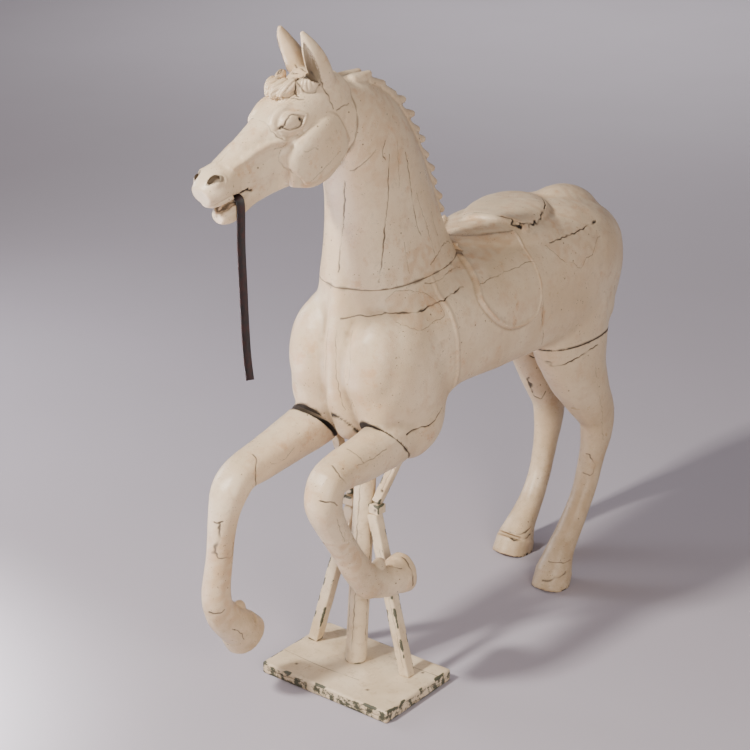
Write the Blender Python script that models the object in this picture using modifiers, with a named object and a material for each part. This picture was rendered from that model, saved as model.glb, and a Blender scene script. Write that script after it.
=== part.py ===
"""A carved and painted wooden carousel horse, forelegs raised, on its wooden stand.

Run it with: blender --background --python part.py
The horse faces -Y, its left side is +X, and +Z is up. The floor is z = 0.
The horse was glued up from blocks and then carved as one. So each block is formed as clay that
runs on past its glue joints, and the planes of the joints then cut it, which keeps the carving
running across them.
"""

import math

import bmesh
import bpy
import numpy as np
from mathutils import Euler, Matrix, Vector

# ---- driving dimensions, in metres -------------------------------------------------------------
# Every number below starts at the foot of the stand's post. MIDDLE moves the whole object so that
# its origin is under the middle of its box.
MIDDLE = (-0.0086, -0.2670, 0.0)
TOUCH = 0.0003  # between pieces that touch
JOINT_GAP = 0.0006  # of each glue joint
FORELEG_GAP = 0.007  # of the right foreleg's joint, which has opened
FAR = 1.0  # past anything that a slab has to cut off

HEAD_POLL = (-0.10, 1.33)  # y, z of the point that the head is measured from
HEAD_SLOPE = 34.0  # degrees that the face falls towards the nose
HEAD_TURN = 10.0  # degrees that the head looks to its right

HEAD_JOINT = -0.058  # y of the plane between head and neck
THROAT = 1.13  # z, under which the neck is in front of that plane
NECK_JOINT = 0.905  # z of the plane between neck and body
WITHERS = 0.300  # y where the neck ends and the saddle starts
FORELEG_JOINT = (-0.005, 0.570)  # y, z of a point of the plane across the tops of the forelegs
FORELEG_SLOPE = 47.3  # degrees that this plane falls towards the back
BREAST = 0.030  # half the width that the chest keeps between the forelegs
HIND_JOINT = 0.612  # z of the plane across the tops of the hind legs
BELLY = 0.45  # y, behind which the hind legs' plane cuts

PLATE = (0.344, 0.229, 0.028)
PLATE_MIDDLE = (0.017, -0.015)
POST_RADIUS = 0.0235
POST_FOOT = (0.0, 0.005)
POST_TOP = (0.0, 0.052, 0.600)
LOWER_BRACE = 0.025  # square
LOWER_BRACE_FOOT = (0.137, 0.020, 0.0)
LOWER_BRACE_TOP = (0.030, 0.033, 0.383)
UPPER_BRACE = 0.020  # square
UPPER_BRACE_FOOT = (0.034, 0.038, 0.408)
UPPER_BRACE_TOP = (0.1165, 0.056, 0.600)
BLOCK = (0.034, 0.026, 0.022)

STRAP_WIDTH = 0.017
STRAP_THICKNESS = 0.003
STRAP_FACING = -25.0  # degrees about Z that its outer face looks, from +X

PAINT = (0.62, 0.56, 0.48, 1.0)
BARE_WOOD = (0.42, 0.33, 0.23, 1.0)
LEATHER = (0.05, 0.022, 0.017, 1.0)


parts = None
cutters = None
middle = None


# ---- small tools --------------------------------------------------------------------------------
def clear_scene():
    for obj in list(bpy.data.objects):
        bpy.data.objects.remove(obj, do_unlink=True)


def smooth_rows(rows, per_span):
    """Rows of numbers made finer by a Catmull-Rom curve through them."""
    rows = np.array(rows, float)
    padded = np.vstack([2 * rows[0] - rows[1], rows, 2 * rows[-1] - rows[-2]])
    fine = []
    for i in range(1, len(padded) - 2):
        a, b, c, d = padded[i - 1 : i + 3]
        for t in np.arange(per_span) / per_span:
            fine.append(0.5 * (2 * b + (c - a) * t + (2 * a - 5 * b + 4 * c - d) * t**2
                               + (3 * b - a - 3 * c + d) * t**3))
    fine.append(rows[-1])
    return np.array(fine)


def loft(clay, stations, taper=0.0, flatten=1.0, per_span=4, around=28):
    """Adds to the clay a closed form through stations of
    (x, y, z, half width, depth on the plus side, depth on the minus side, squareness).
    The plus side is X cross the direction of travel: up on the barrel, the throat on the neck,
    the jaw on the head and the back of a leg. taper narrows the minus side, and flatten makes it
    squarer."""
    rows = smooth_rows(stations, per_span)
    centres = rows[:, :3]
    ways = np.gradient(centres, axis=0)
    rings = []
    for (x, y, z, width, plus, minus, square), way in zip(rows, ways):
        way = Vector(way).normalized()
        side = (Vector((1, 0, 0)) - way * way.x).normalized()
        deep = side.cross(way)
        ring = []
        for k in range(around):
            angle = 2 * math.pi * k / around
            c, s = math.cos(angle), math.sin(angle)
            power = 2 / (square if s > 0 else square * flatten)
            across = width * math.copysign(abs(c) ** power, c) * (1 + taper * s)
            down = (plus if s > 0 else minus) * math.copysign(abs(s) ** power, s)
            ring.append(clay.verts.new(Vector((x, y, z)) + side * across + deep * down))
        rings.append(ring)
    for one, two in zip(rings, rings[1:]):
        for k in range(around):
            n = (k + 1) % around
            clay.faces.new((one[k], one[n], two[n], two[k]))
    clay.faces.new(rings[0][::-1])
    clay.faces.new(rings[-1])


def lump(clay, centre, radii, turn=(0, 0, 0)):
    """Adds an ellipsoid of clay, turned by degrees about X, then Y, then Z."""
    spin = Euler([math.radians(angle) for angle in turn]).to_matrix().to_4x4()
    ball = bmesh.new()
    bmesh.ops.create_uvsphere(ball, u_segments=20, v_segments=12, radius=1.0,
                              matrix=Matrix.Translation(centre) @ spin
                              @ Matrix.Diagonal((*radii, 1.0)))
    join(clay, ball)


def join(clay, form):
    """Adds a form to the clay. It is made in a bmesh of its own, because the operator that makes
    it is slow in a dense one."""
    carrier = bpy.data.meshes.new("form")
    form.to_mesh(carrier)
    form.free()
    clay.from_mesh(carrier)
    bpy.data.meshes.remove(carrier)


def roll(clay, points, radii, square=2.0):
    """Adds a rounded roll of clay through points, with one radius or one for each of them."""
    radii = [radii] * len(points) if isinstance(radii, float) else radii
    loft(clay, [(*p, r, r, r, square) for p, r in zip(points, radii)], around=14)
    for p, r in ((points[0], radii[0]), (points[-1], radii[-1])):
        lump(clay, p, (r, r, r))


# ---- forms of the horse -------------------------------------------------------------------------
def barrel(clay):
    loft(clay, [
        # x, y, z, half width, up, down, squareness
        (0, -0.052, 0.750, 0.030, 0.050, 0.060, 2.0),
        (0, -0.044, 0.750, 0.070, 0.085, 0.110, 2.1),
        (0, -0.018, 0.750, 0.112, 0.125, 0.155, 2.2),
        (0, 0.040, 0.750, 0.142, 0.148, 0.180, 2.2),
        (0, 0.120, 0.760, 0.157, 0.142, 0.146, 2.2),
        (0, 0.200, 0.775, 0.163, 0.127, 0.144, 2.2),
        (0, 0.320, 0.775, 0.165, 0.128, 0.149, 2.2),
        (0, 0.450, 0.775, 0.165, 0.140, 0.156, 2.2),
        (0, 0.600, 0.775, 0.164, 0.150, 0.157, 2.4),
        (0, 0.700, 0.770, 0.158, 0.155, 0.153, 2.4),
        (0, 0.780, 0.750, 0.146, 0.155, 0.150, 2.4),
        (0, 0.840, 0.725, 0.128, 0.145, 0.140, 2.4),
        (0, 0.878, 0.712, 0.104, 0.124, 0.122, 2.2),
        (0, 0.899, 0.705, 0.072, 0.090, 0.092, 2.0),
        (0, 0.908, 0.702, 0.032, 0.045, 0.045, 2.0),
    ], flatten=1.7)


def chest(clay):
    lump(clay, (0, 0.045, 0.820), (0.120, 0.088, 0.110))
    for side in (1, -1):
        lump(clay, (side * 0.074, -0.016, 0.752), (0.064, 0.068, 0.112), (-10, 0, 0))
        lump(clay, (side * 0.082, -0.008, 0.680), (0.058, 0.064, 0.100))
        lump(clay, (side * 0.106, 0.060, 0.705), (0.054, 0.115, 0.155), (8, 0, 0))
        lump(clay, (side * 0.102, 0.070, 0.612), (0.052, 0.092, 0.092))
    roll(clay, [(0, -0.010, 0.960), (0, -0.026, 0.900), (0, -0.042, 0.830), (0, -0.052, 0.750),
                (0, -0.042, 0.660), (0, -0.010, 0.590)],
         [0.030, 0.028, 0.026, 0.026, 0.028, 0.032])


def croup(clay):
    for side in (1, -1):
        lump(clay, (side * 0.080, 0.700, 0.790), (0.076, 0.165, 0.112), (-8, 0, 0))
        lump(clay, (side * 0.082, 0.768, 0.668), (0.064, 0.080, 0.085))
    lump(clay, (0, 0.790, 0.868), (0.062, 0.124, 0.064), (-16, 0, 0))


def saddle(clay):
    loft(clay, [
        (0, 0.290, 0.885, 0.030, 0.018, 0.050, 2.2),
        (0, 0.320, 0.885, 0.055, 0.028, 0.050, 2.1),
        (0, 0.370, 0.885, 0.080, 0.037, 0.050, 2.0),
        (0, 0.420, 0.885, 0.102, 0.045, 0.050, 2.0),
        (0, 0.460, 0.885, 0.116, 0.048, 0.050, 2.3),
        (0, 0.520, 0.883, 0.122, 0.048, 0.050, 2.5),
        (0, 0.600, 0.880, 0.112, 0.046, 0.050, 2.6),
        (0, 0.650, 0.878, 0.075, 0.040, 0.050, 2.6),
    ])


def seat_plate(clay):
    loft(clay, [
        (0.030, 0.444, 0.916, 0.066, 0.024, 0.025, 2.8),
        (0.028, 0.450, 0.916, 0.073, 0.027, 0.025, 2.8),
        (0.024, 0.470, 0.916, 0.080, 0.028, 0.025, 2.8),
        (0.009, 0.520, 0.917, 0.088, 0.028, 0.025, 2.8),
        (-0.002, 0.560, 0.917, 0.090, 0.028, 0.025, 2.8),
        (-0.015, 0.600, 0.917, 0.083, 0.027, 0.025, 2.8),
        (-0.026, 0.640, 0.916, 0.064, 0.025, 0.025, 2.7),
        (-0.032, 0.668, 0.914, 0.038, 0.021, 0.022, 2.5),
        (-0.034, 0.680, 0.912, 0.016, 0.014, 0.015, 2.2),
    ], flatten=2.0)


NECK = [
    # x, y, z, half width, throat side, crest side, squareness
    (0, 0.160, 0.760, 0.135, 0.185, 0.180, 2.3),
    (0, 0.145, 0.850, 0.120, 0.190, 0.180, 2.3),
    (0, 0.130, 0.920, 0.098, 0.178, 0.163, 2.3),
    (0, 0.115, 1.000, 0.083, 0.160, 0.143, 2.3),
    (0, 0.095, 1.080, 0.075, 0.140, 0.126, 2.3),
    (0, 0.070, 1.150, 0.070, 0.125, 0.111, 2.3),
    (0, 0.035, 1.215, 0.066, 0.110, 0.094, 2.2),
    (0, -0.015, 1.265, 0.062, 0.095, 0.068, 2.1),
    (0, -0.080, 1.285, 0.055, 0.080, 0.045, 2.0),
]
NECK_TAPER = 0.30
MANE_TUFTS = 12
MANE_STARTS = 0.37  # how far up the neck's own line the lowest tuft grows
LOCK = 0.046  # length of a tuft


def neck(clay):
    loft(clay, NECK, taper=NECK_TAPER)


def mane(clay):
    """Tufts down the crest, in pairs, each a lock that sweeps back to a point."""
    rows = smooth_rows(NECK, 12)
    ways = np.gradient(rows[:, :3], axis=0)
    first = int(MANE_STARTS * len(rows))
    for n, i in enumerate(np.linspace(first, len(rows) - 11, MANE_TUFTS).astype(int)):
        rise = 0.033 + 0.004 * (n % 2) if n < MANE_TUFTS - 3 else 0.025
        up = Vector(ways[i]).normalized()
        out = up.cross(Vector((1, 0, 0)))
        crest = Vector(rows[i][:3]) + out * rows[i][5]
        for side in (1, -1):
            root = crest + Vector((side * 0.013, 0, 0)) - out * 0.015 + up * 0.012
            bend = root + out * 0.011 - up * LOCK * 0.55
            tip = root + out * rise - up * LOCK
            roll(clay, [root, bend, tip], [0.015, 0.014, 0.008])


def on_head(along, deep, side=0.0):
    """A point on the head: along the face from the poll, deep towards the jaw, side to the left."""
    slope, turn = math.radians(HEAD_SLOPE), math.radians(HEAD_TURN)
    forward = -along * math.cos(slope) + deep * math.sin(slope)
    return Vector((side * math.cos(turn) + forward * math.sin(turn),
                   HEAD_POLL[0] + forward * math.cos(turn) - side * math.sin(turn),
                   HEAD_POLL[1] - along * math.sin(slope) - deep * math.cos(slope)))


def head_lump(clay, along, deep, side, radii, tilt=0.0, yaw=0.0):
    """A lump on the head. Its radii run to the side, along the face and into its depth."""
    lump(clay, on_head(along, deep, side), radii, (HEAD_SLOPE + tilt, 0, yaw - HEAD_TURN))


def head_loft(clay, stations, taper=0.0, flatten=1.0, around=28):
    """A form along the head, through stations of
    (along, deep, side, half width, jaw side, dorsal side, squareness)."""
    loft(clay, [(*on_head(a, d, s), w, j, t, n) for a, d, s, w, j, t, n in stations], taper,
         flatten, around=around)


def head(clay):
    head_loft(clay, [
        # along, deep, side, half width, jaw side, dorsal side, squareness
        (-0.035, 0.030, 0, 0.035, 0.040, 0.035, 2.0),
        (0.000, 0.030, 0, 0.052, 0.085, 0.062, 2.1),
        (0.045, 0.030, 0, 0.058, 0.095, 0.078, 2.2),
        (0.090, 0.025, 0, 0.056, 0.085, 0.077, 2.2),
        (0.130, 0.018, 0, 0.050, 0.080, 0.065, 2.4),
        (0.175, 0.010, 0, 0.041, 0.072, 0.055, 2.6),
        (0.220, 0.002, 0, 0.035, 0.060, 0.047, 2.6),
        (0.262, -0.006, 0, 0.034, 0.038, 0.040, 2.3),
        (0.295, -0.013, 0, 0.038, 0.027, 0.036, 1.9),
        (0.315, -0.017, 0, 0.035, 0.025, 0.030, 1.8),
        (0.334, -0.020, 0, 0.026, 0.021, 0.021, 1.8),
    ], taper=0.12, flatten=1.35)
    head_loft(clay, [
        (0.075, 0.100, 0, 0.040, 0.040, 0.040, 2.2),
        (0.120, 0.092, 0, 0.036, 0.042, 0.040, 2.3),
        (0.165, 0.075, 0, 0.032, 0.032, 0.040, 2.5),
        (0.210, 0.062, 0, 0.029, 0.025, 0.035, 2.5),
        (0.250, 0.052, 0, 0.027, 0.022, 0.022, 2.3),
        (0.285, 0.046, 0, 0.027, 0.026, 0.016, 2.2),
        (0.312, 0.044, 0, 0.025, 0.023, 0.014, 2.2),
        (0.330, 0.038, 0, 0.017, 0.015, 0.008, 2.1),
    ])
    for side in (1, -1):
        head_loft(clay, [(a, d, side * s, w, j, t, 3.2) for a, d, s, w, j, t in (
            (0.030, 0.060, 0.044, 0.010, 0.040, 0.030), (0.060, 0.064, 0.045, 0.018, 0.062, 0.046),
            (0.100, 0.068, 0.045, 0.020, 0.070, 0.054), (0.135, 0.066, 0.044, 0.018, 0.062, 0.050),
            (0.160, 0.060, 0.041, 0.016, 0.044, 0.044), (0.173, 0.054, 0.039, 0.012, 0.034, 0.036))])
        roll(clay, at_side(side, CHEEK_RIDGE), CHEEK_RIDGE_RADII)
        roll(clay, at_side(side, BROW), BROW_RADII)
        head_lump(clay, 0.300, -0.032, side * 0.022, (0.014, 0.022, 0.014), tilt=10)


def at_side(side, places):
    """Points on the head, each given as along, deep and out to that side."""
    return [on_head(along, deep, side * out) for along, deep, out in places]


CHEEK_RIDGE = ((0.148, 0.000, 0.043), (0.178, -0.014, 0.037), (0.207, -0.022, 0.033),
               (0.238, -0.026, 0.029), (0.258, -0.029, 0.026))
CHEEK_RIDGE_RADII = (0.008, 0.008, 0.0075, 0.006, 0.005)
BROW = ((0.096, -0.039, 0.034), (0.115, -0.041, 0.029), (0.132, -0.039, 0.027),
        (0.146, -0.034, 0.031), (0.152, -0.022, 0.037), (0.147, -0.008, 0.042))
BROW_RADII = (0.006, 0.009, 0.0095, 0.008, 0.0065, 0.005)
UPPER_LID = ((0.143, -0.023, 0.041), (0.129, -0.034, 0.038), (0.115, -0.036, 0.040),
             (0.104, -0.030, 0.045), (0.095, -0.021, 0.050), (0.087, -0.010, 0.053))
LOWER_LID = ((0.143, -0.022, 0.041), (0.132, -0.009, 0.047), (0.117, -0.001, 0.051),
             (0.101, -0.001, 0.054), (0.087, -0.009, 0.053))
NOSTRIL = ((0.314, -0.037, 0.012), (0.303, -0.041, 0.013), (0.292, -0.041, 0.017),
           (0.285, -0.036, 0.025), (0.287, -0.027, 0.031), (0.297, -0.024, 0.032),
           (0.308, -0.026, 0.029))
NOSTRIL_RADII = (0.003, 0.0045, 0.005, 0.0055, 0.005, 0.004, 0.0025)
UPPER_LIP = ((0.296, 0.011, 0.030), (0.307, 0.008, 0.027), (0.320, 0.005, 0.022),
             (0.330, 0.003, 0.012), (0.333, 0.002, 0.0))
LOWER_LIP = ((0.296, 0.037, 0.020), (0.306, 0.036, 0.018), (0.318, 0.035, 0.013),
             (0.326, 0.034, 0.0))


def eyes(clay):
    """Each eye: the ball and the lids round it."""
    for side in (1, -1):
        head_lump(clay, 0.113, -0.018, side * 0.041, (0.013, 0.027, 0.016), tilt=-24)
        roll(clay, at_side(side, UPPER_LID), 0.005)
        roll(clay, at_side(side, LOWER_LID), 0.005)


def muzzle(clay):
    """The rims of the nostrils, and the lips, drawn up from the teeth."""
    for side in (1, -1):
        roll(clay, at_side(side, NOSTRIL), NOSTRIL_RADII)
        roll(clay, at_side(side, UPPER_LIP), 0.005)
        roll(clay, at_side(side, LOWER_LIP), 0.0055)


def scoop(side, places, radii):
    """A cutter for a hollow, through points on the head."""
    made = bmesh.new()
    loft(made, [(*place, r, r, r, 2.0) for place, r in zip(at_side(side, places), radii)],
         per_span=3, around=12)
    bmesh.ops.recalc_face_normals(made, faces=made.faces)
    return made


EAR_HOLLOW = ((0.024, -0.030, 0.042), (0.026, -0.058, 0.046), (0.020, -0.088, 0.046),
              (0.010, -0.114, 0.041))
EAR_HOLLOW_RADII = (0.005, 0.013, 0.012, 0.005)
NOSE_HOLLOW = ((0.314, -0.038, 0.018), (0.303, -0.040, 0.023), (0.294, -0.036, 0.029))
NOSE_HOLLOW_RADII = (0.005, 0.009, 0.007)


def ears(clay):
    for side, lean in EAR_LEANS:
        head_loft(clay, [(a, d, side * (s - lean * share), w, t, t, 2.2)
                         for a, d, s, w, t, share in (
            (0.006, 0.020, 0.028, 0.016, 0.018, 1.0),
            (0.005, -0.016, 0.031, 0.019, 0.023, 0.8),
            (0.002, -0.050, 0.034, 0.020, 0.025, 0.4),
            (-0.001, -0.082, 0.036, 0.017, 0.020, 0.1),
            (-0.004, -0.110, 0.035, 0.010, 0.012, 0.0),
            (-0.006, -0.130, 0.032, 0.003, 0.004, 0.0))], around=20)


EAR_LEANS = ((1, 0.0), (-1, 0.012))  # side, and how far the ear's root is nearer the middle


def forelock(clay):
    for along, deep, side, long, turn in (
        (0.078, -0.060, -0.024, 0.022, 24), (0.083, -0.064, -0.009, 0.025, 8),
        (0.082, -0.063, 0.007, 0.026, -6), (0.072, -0.058, 0.022, 0.027, -16),
        (0.050, -0.048, -0.034, 0.028, 28),
    ):
        head_lump(clay, along, deep, side, (0.0105, long, 0.014), yaw=turn)
    head_lump(clay, 0.044, -0.042, 0.034, (0.014, 0.030, 0.019), yaw=-28)
    head_lump(clay, 0.038, -0.028, 0, (0.030, 0.040, 0.030))


FORELEGS = {
    # side: stations of x, y, z, half width, back, front, squareness
    1: [(0.092, 0.110, 0.640, 0.052, 0.060, 0.060, 2.2),
        (0.095, 0.040, 0.600, 0.050, 0.064, 0.056, 2.2),
        (0.100, -0.024, 0.584, 0.048, 0.058, 0.050, 2.2),
        (0.102, -0.100, 0.577, 0.044, 0.050, 0.044, 2.2),
        (0.102, -0.164, 0.574, 0.040, 0.042, 0.038, 2.3),
        (0.103, -0.209, 0.561, 0.038, 0.036, 0.038, 2.4),
        (0.105, -0.226, 0.522, 0.036, 0.036, 0.038, 2.4),
        (0.108, -0.210, 0.473, 0.031, 0.032, 0.032, 2.3),
        (0.113, -0.173, 0.404, 0.028, 0.030, 0.028, 2.2),
        (0.118, -0.138, 0.343, 0.030, 0.034, 0.030, 2.2),
        (0.122, -0.105, 0.305, 0.029, 0.034, 0.031, 2.2),
        (0.126, -0.061, 0.287, 0.031, 0.032, 0.033, 2.2),
        (0.129, -0.020, 0.285, 0.035, 0.038, 0.035, 2.4),
        (0.130, 0.003, 0.283, 0.038, 0.044, 0.037, 2.5)],
    -1: [(-0.092, 0.110, 0.640, 0.052, 0.060, 0.060, 2.2),
         (-0.095, 0.040, 0.595, 0.050, 0.062, 0.054, 2.2),
         (-0.100, -0.022, 0.572, 0.048, 0.056, 0.050, 2.2),
         (-0.102, -0.103, 0.558, 0.044, 0.050, 0.043, 2.2),
         (-0.102, -0.187, 0.545, 0.040, 0.044, 0.037, 2.3),
         (-0.102, -0.243, 0.532, 0.038, 0.036, 0.036, 2.4),
         (-0.102, -0.277, 0.503, 0.037, 0.036, 0.036, 2.4),
         (-0.102, -0.296, 0.455, 0.030, 0.030, 0.030, 2.3),
         (-0.102, -0.310, 0.375, 0.026, 0.028, 0.028, 2.2),
         (-0.102, -0.324, 0.298, 0.030, 0.031, 0.029, 2.2),
         (-0.102, -0.317, 0.252, 0.029, 0.033, 0.031, 2.2),
         (-0.102, -0.292, 0.217, 0.033, 0.037, 0.035, 2.3),
         (-0.102, -0.262, 0.188, 0.038, 0.044, 0.038, 2.4),
         (-0.102, -0.242, 0.160, 0.042, 0.050, 0.042, 2.5)],
}
FORELEG_KNOBS = {
    # side: centre, radii and tilt of the knee's boss, the tuft and the fetlock
    1: [((0.103, -0.219, 0.546), (0.034, 0.030, 0.036), 20),
        ((0.124, -0.078, 0.324), (0.014, 0.020, 0.026), -50),
        ((0.122, -0.107, 0.301), (0.032, 0.036, 0.032), -40)],
    -1: [((-0.102, -0.268, 0.512), (0.034, 0.032, 0.036), 30),
         ((-0.102, -0.262, 0.228), (0.014, 0.020, 0.024), -40),
         ((-0.102, -0.306, 0.238), (0.031, 0.034, 0.036), -20)],
}
HOOF_STEP = 0.003


def foreleg(side):
    """The form of one foreleg, with the boss of its knee and the tuft behind its fetlock."""
    def form(clay):
        stations = FORELEGS[side]
        loft(clay, stations[:-1])
        hoof(clay, stations[-2], stations[-1])
        for centre, radii, tilt in FORELEG_KNOBS[side]:
            lump(clay, centre, radii, (tilt, 0, 0))
    return form


def hoof(clay, coronet, sole):
    """A hoof, a little wider than the pastern that it grows from, so that its rim shows."""
    loft(clay, [(*coronet[:3], *[r + HOOF_STEP for r in coronet[3:6]], 2.1),
                (*sole[:3], *[r + HOOF_STEP for r in sole[3:6]], 2.1)])


def stumps(clay):
    """The tops of the four legs, which stay on the body."""
    for stations in (*FORELEGS.values(), *HIND_LEGS.values()):
        loft(clay, stations[:5])


HIND_LEGS = {
    1: [(0.085, 0.690, 0.760, 0.066, 0.130, 0.110, 2.3),
        (0.090, 0.690, 0.680, 0.066, 0.130, 0.150, 2.3),
        (0.096, 0.690, 0.600, 0.062, 0.118, 0.125, 2.3),
        (0.104, 0.705, 0.520, 0.054, 0.092, 0.086, 2.3),
        (0.112, 0.741, 0.450, 0.046, 0.068, 0.062, 2.3),
        (0.115, 0.783, 0.385, 0.037, 0.052, 0.048, 2.4),
        (0.115, 0.786, 0.330, 0.033, 0.042, 0.042, 2.3),
        (0.115, 0.768, 0.275, 0.029, 0.034, 0.032, 2.2),
        (0.115, 0.740, 0.200, 0.027, 0.030, 0.028, 2.2),
        (0.115, 0.690, 0.130, 0.028, 0.031, 0.029, 2.2),
        (0.115, 0.645, 0.078, 0.032, 0.036, 0.034, 2.2),
        (0.115, 0.622, 0.035, 0.040, 0.042, 0.044, 2.4),
        (0.115, 0.606, -0.010, 0.040, 0.042, 0.047, 2.5)],
    -1: [(-0.085, 0.740, 0.760, 0.066, 0.110, 0.110, 2.3),
         (-0.088, 0.755, 0.680, 0.066, 0.100, 0.110, 2.3),
         (-0.088, 0.780, 0.600, 0.060, 0.085, 0.080, 2.3),
         (-0.084, 0.802, 0.510, 0.050, 0.066, 0.064, 2.3),
         (-0.076, 0.828, 0.430, 0.042, 0.052, 0.054, 2.3),
         (-0.070, 0.856, 0.365, 0.036, 0.048, 0.045, 2.4),
         (-0.068, 0.860, 0.310, 0.033, 0.042, 0.040, 2.3),
         (-0.066, 0.846, 0.240, 0.028, 0.033, 0.031, 2.2),
         (-0.064, 0.822, 0.170, 0.026, 0.030, 0.028, 2.2),
         (-0.062, 0.785, 0.110, 0.028, 0.032, 0.030, 2.2),
         (-0.060, 0.742, 0.065, 0.034, 0.036, 0.036, 2.2),
         (-0.060, 0.718, 0.030, 0.042, 0.044, 0.048, 2.4),
         (-0.060, 0.702, -0.010, 0.044, 0.046, 0.054, 2.5)],
}


def hind_leg(side):
    def form(clay):
        stations = HIND_LEGS[side]
        loft(clay, stations[:-1])
        hoof(clay, stations[-2], stations[-1])
    return form


# ---- the saddle's low relief ----------------------------------------------------------------------
FLAP = [(0.300, 0.930), (0.262, 0.885), (0.228, 0.830), (0.268, 0.778), (0.329, 0.742),
        (0.387, 0.736), (0.428, 0.750), (0.446, 0.788), (0.449, 0.847), (0.450, 0.895),
        (0.448, 0.935)]
FLAP_HEIGHT = 0.007
FLAP_EDGE = 0.006  # over which the flap's edge falls
FLAP_TOP = 0.915  # z, over which the seat covers the flaps
GIRTH = [(0.130, 0.895), (0.133, 0.873), (0.146, 0.771), (0.156, 0.662)]
GIRTH_HEIGHT = 0.003
GIRTH_WIDTH = 0.008


def to_line(points, line):
    """The distance of each (y, z) from a line of short straight runs."""
    nearest = np.full(len(points), np.inf)
    for a, b in zip(line, line[1:]):
        along = b - a
        share = np.clip((points - a) @ along / (along @ along), 0, 1)
        nearest = np.minimum(nearest, np.linalg.norm(points - a - share[:, None] * along, axis=1))
    return nearest


def inside(points, line):
    """Whether each (y, z) is within the outline that the line closes."""
    y, z = points.T
    odd = np.zeros(len(points), bool)
    for (ya, za), (yb, zb) in zip(line, np.roll(line, -1, axis=0)):
        if za != zb:
            odd ^= ((za > z) != (zb > z)) & (y < ya + (z - za) * (yb - ya) / (zb - za))
    return odd


def saddle_relief(clay):
    """Raises the saddle's flaps and the girth from the flanks."""
    clay.normal_update()
    places = np.array([v.co for v in clay.verts])
    flat = places[:, 1:]
    outline = smooth_rows(FLAP, 4)
    depth = np.where(inside(flat, outline), to_line(flat, outline), 0)
    flap = FLAP_HEIGHT * np.clip(depth / FLAP_EDGE, 0, 1) * (places[:, 2] < FLAP_TOP)
    girth = GIRTH_HEIGHT * np.clip(1 - to_line(flat, smooth_rows(GIRTH, 4)) / GIRTH_WIDTH, 0, 1)
    for v, height in zip(clay.verts, np.maximum(flap, girth)):
        if height > 0:
            v.co += v.normal * float(height)


# ---- making pieces --------------------------------------------------------------------------------
def finish(name, colour, roughness):
    """A Principled material."""
    material = bpy.data.materials.new(name)
    material.use_nodes = True
    shader = material.node_tree.nodes["Principled BSDF"]
    shader.inputs["Base Color"].default_value = colour
    shader.inputs["Roughness"].default_value = roughness
    return material


def piece(name, mesh, material=None):
    """Puts a mesh in the scene: a part if it has a material, or else a cutter."""
    if isinstance(mesh, bmesh.types.BMesh):
        made = bpy.data.meshes.new(name)
        mesh.to_mesh(made)
        mesh.free()
        mesh = made
    obj = bpy.data.objects.new(name, mesh)
    obj.parent = middle
    if material:
        parts.objects.link(obj)
        mesh.materials.append(material)
    else:
        cutters.objects.link(obj)
        obj.hide_render = True
        obj.display_type = "WIRE"
    return obj


def fused(clay, voxel, softness):
    """The clay's forms made one closed skin, smoothed that many times."""
    bmesh.ops.recalc_face_normals(clay, faces=clay.faces)
    mesh = bpy.data.meshes.new("clay")
    clay.to_mesh(mesh)
    clay.free()
    obj = bpy.data.objects.new("clay", mesh)
    bpy.context.scene.collection.objects.link(obj)
    fuse = obj.modifiers.new("Fuse", "REMESH")
    fuse.mode = "VOXEL"
    fuse.voxel_size = voxel
    soften = obj.modifiers.new("Soften", "SMOOTH")
    soften.factor = 0.5
    soften.iterations = softness
    skin = bmesh.new()
    skin.from_object(obj, bpy.context.evaluated_depsgraph_get())
    bpy.data.objects.remove(obj)
    bpy.data.meshes.remove(mesh)
    return skin


def carving(name, base, details, voxel, softness, triangles, material, relief=None):
    """A carved block: soft base forms, then crisp details, with about that many triangles."""
    clay = bmesh.new()
    for form in base:
        form(clay)
    clay = fused(clay, voxel, softness)
    for form in details:
        form(clay)
    clay = fused(clay, voxel, DETAIL_SOFTNESS)
    if relief:
        relief(clay)
    bmesh.ops.triangulate(clay, faces=clay.faces)
    share = triangles / len(clay.faces)
    obj = piece(name, clay, material)
    thin = obj.modifiers.new("Facets", "DECIMATE")
    thin.ratio = share
    return obj


DETAIL_SOFTNESS = 2


def box(name, low, high, material=None):
    """A box between two corners."""
    made = bmesh.new()
    low, high = Vector(low), Vector(high)
    bmesh.ops.create_cube(made, size=1.0, matrix=Matrix.Translation((low + high) / 2)
                          @ Matrix.Diagonal((*(high - low), 1.0)))
    return piece(name, made, material)


def stick(name, foot, top, thick, material=None, sides=4, grow=0.0, past=0.03):
    """A straight stick from foot to top, square with thick sides, or round. It runs past both
    ends, where cuts then shape it, and grow makes it thicker on each side."""
    foot, top = Vector(foot), Vector(top)
    way = (top - foot).normalized()
    across = Vector((0, 1, 0)).cross(way).normalized()
    turn = Matrix((across, way.cross(across), way)).transposed().to_4x4()
    radius = (thick / 2 + grow) / math.cos(math.pi / sides) if sides == 4 else thick / 2 + grow
    made = bmesh.new()
    bmesh.ops.create_cone(
        made, cap_ends=True, segments=sides, radius1=radius, radius2=radius,
        depth=(top - foot).length + 2 * past,
        matrix=Matrix.Translation((foot + top) / 2) @ turn @ Matrix.Rotation(math.pi / 4, 4, "Z"))
    return piece(name, made, material)


def cut(obj, *tools):
    for tool in tools:
        boolean = obj.modifiers.new(tool.name, "BOOLEAN")
        boolean.operation = "DIFFERENCE"
        boolean.object = tool


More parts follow.
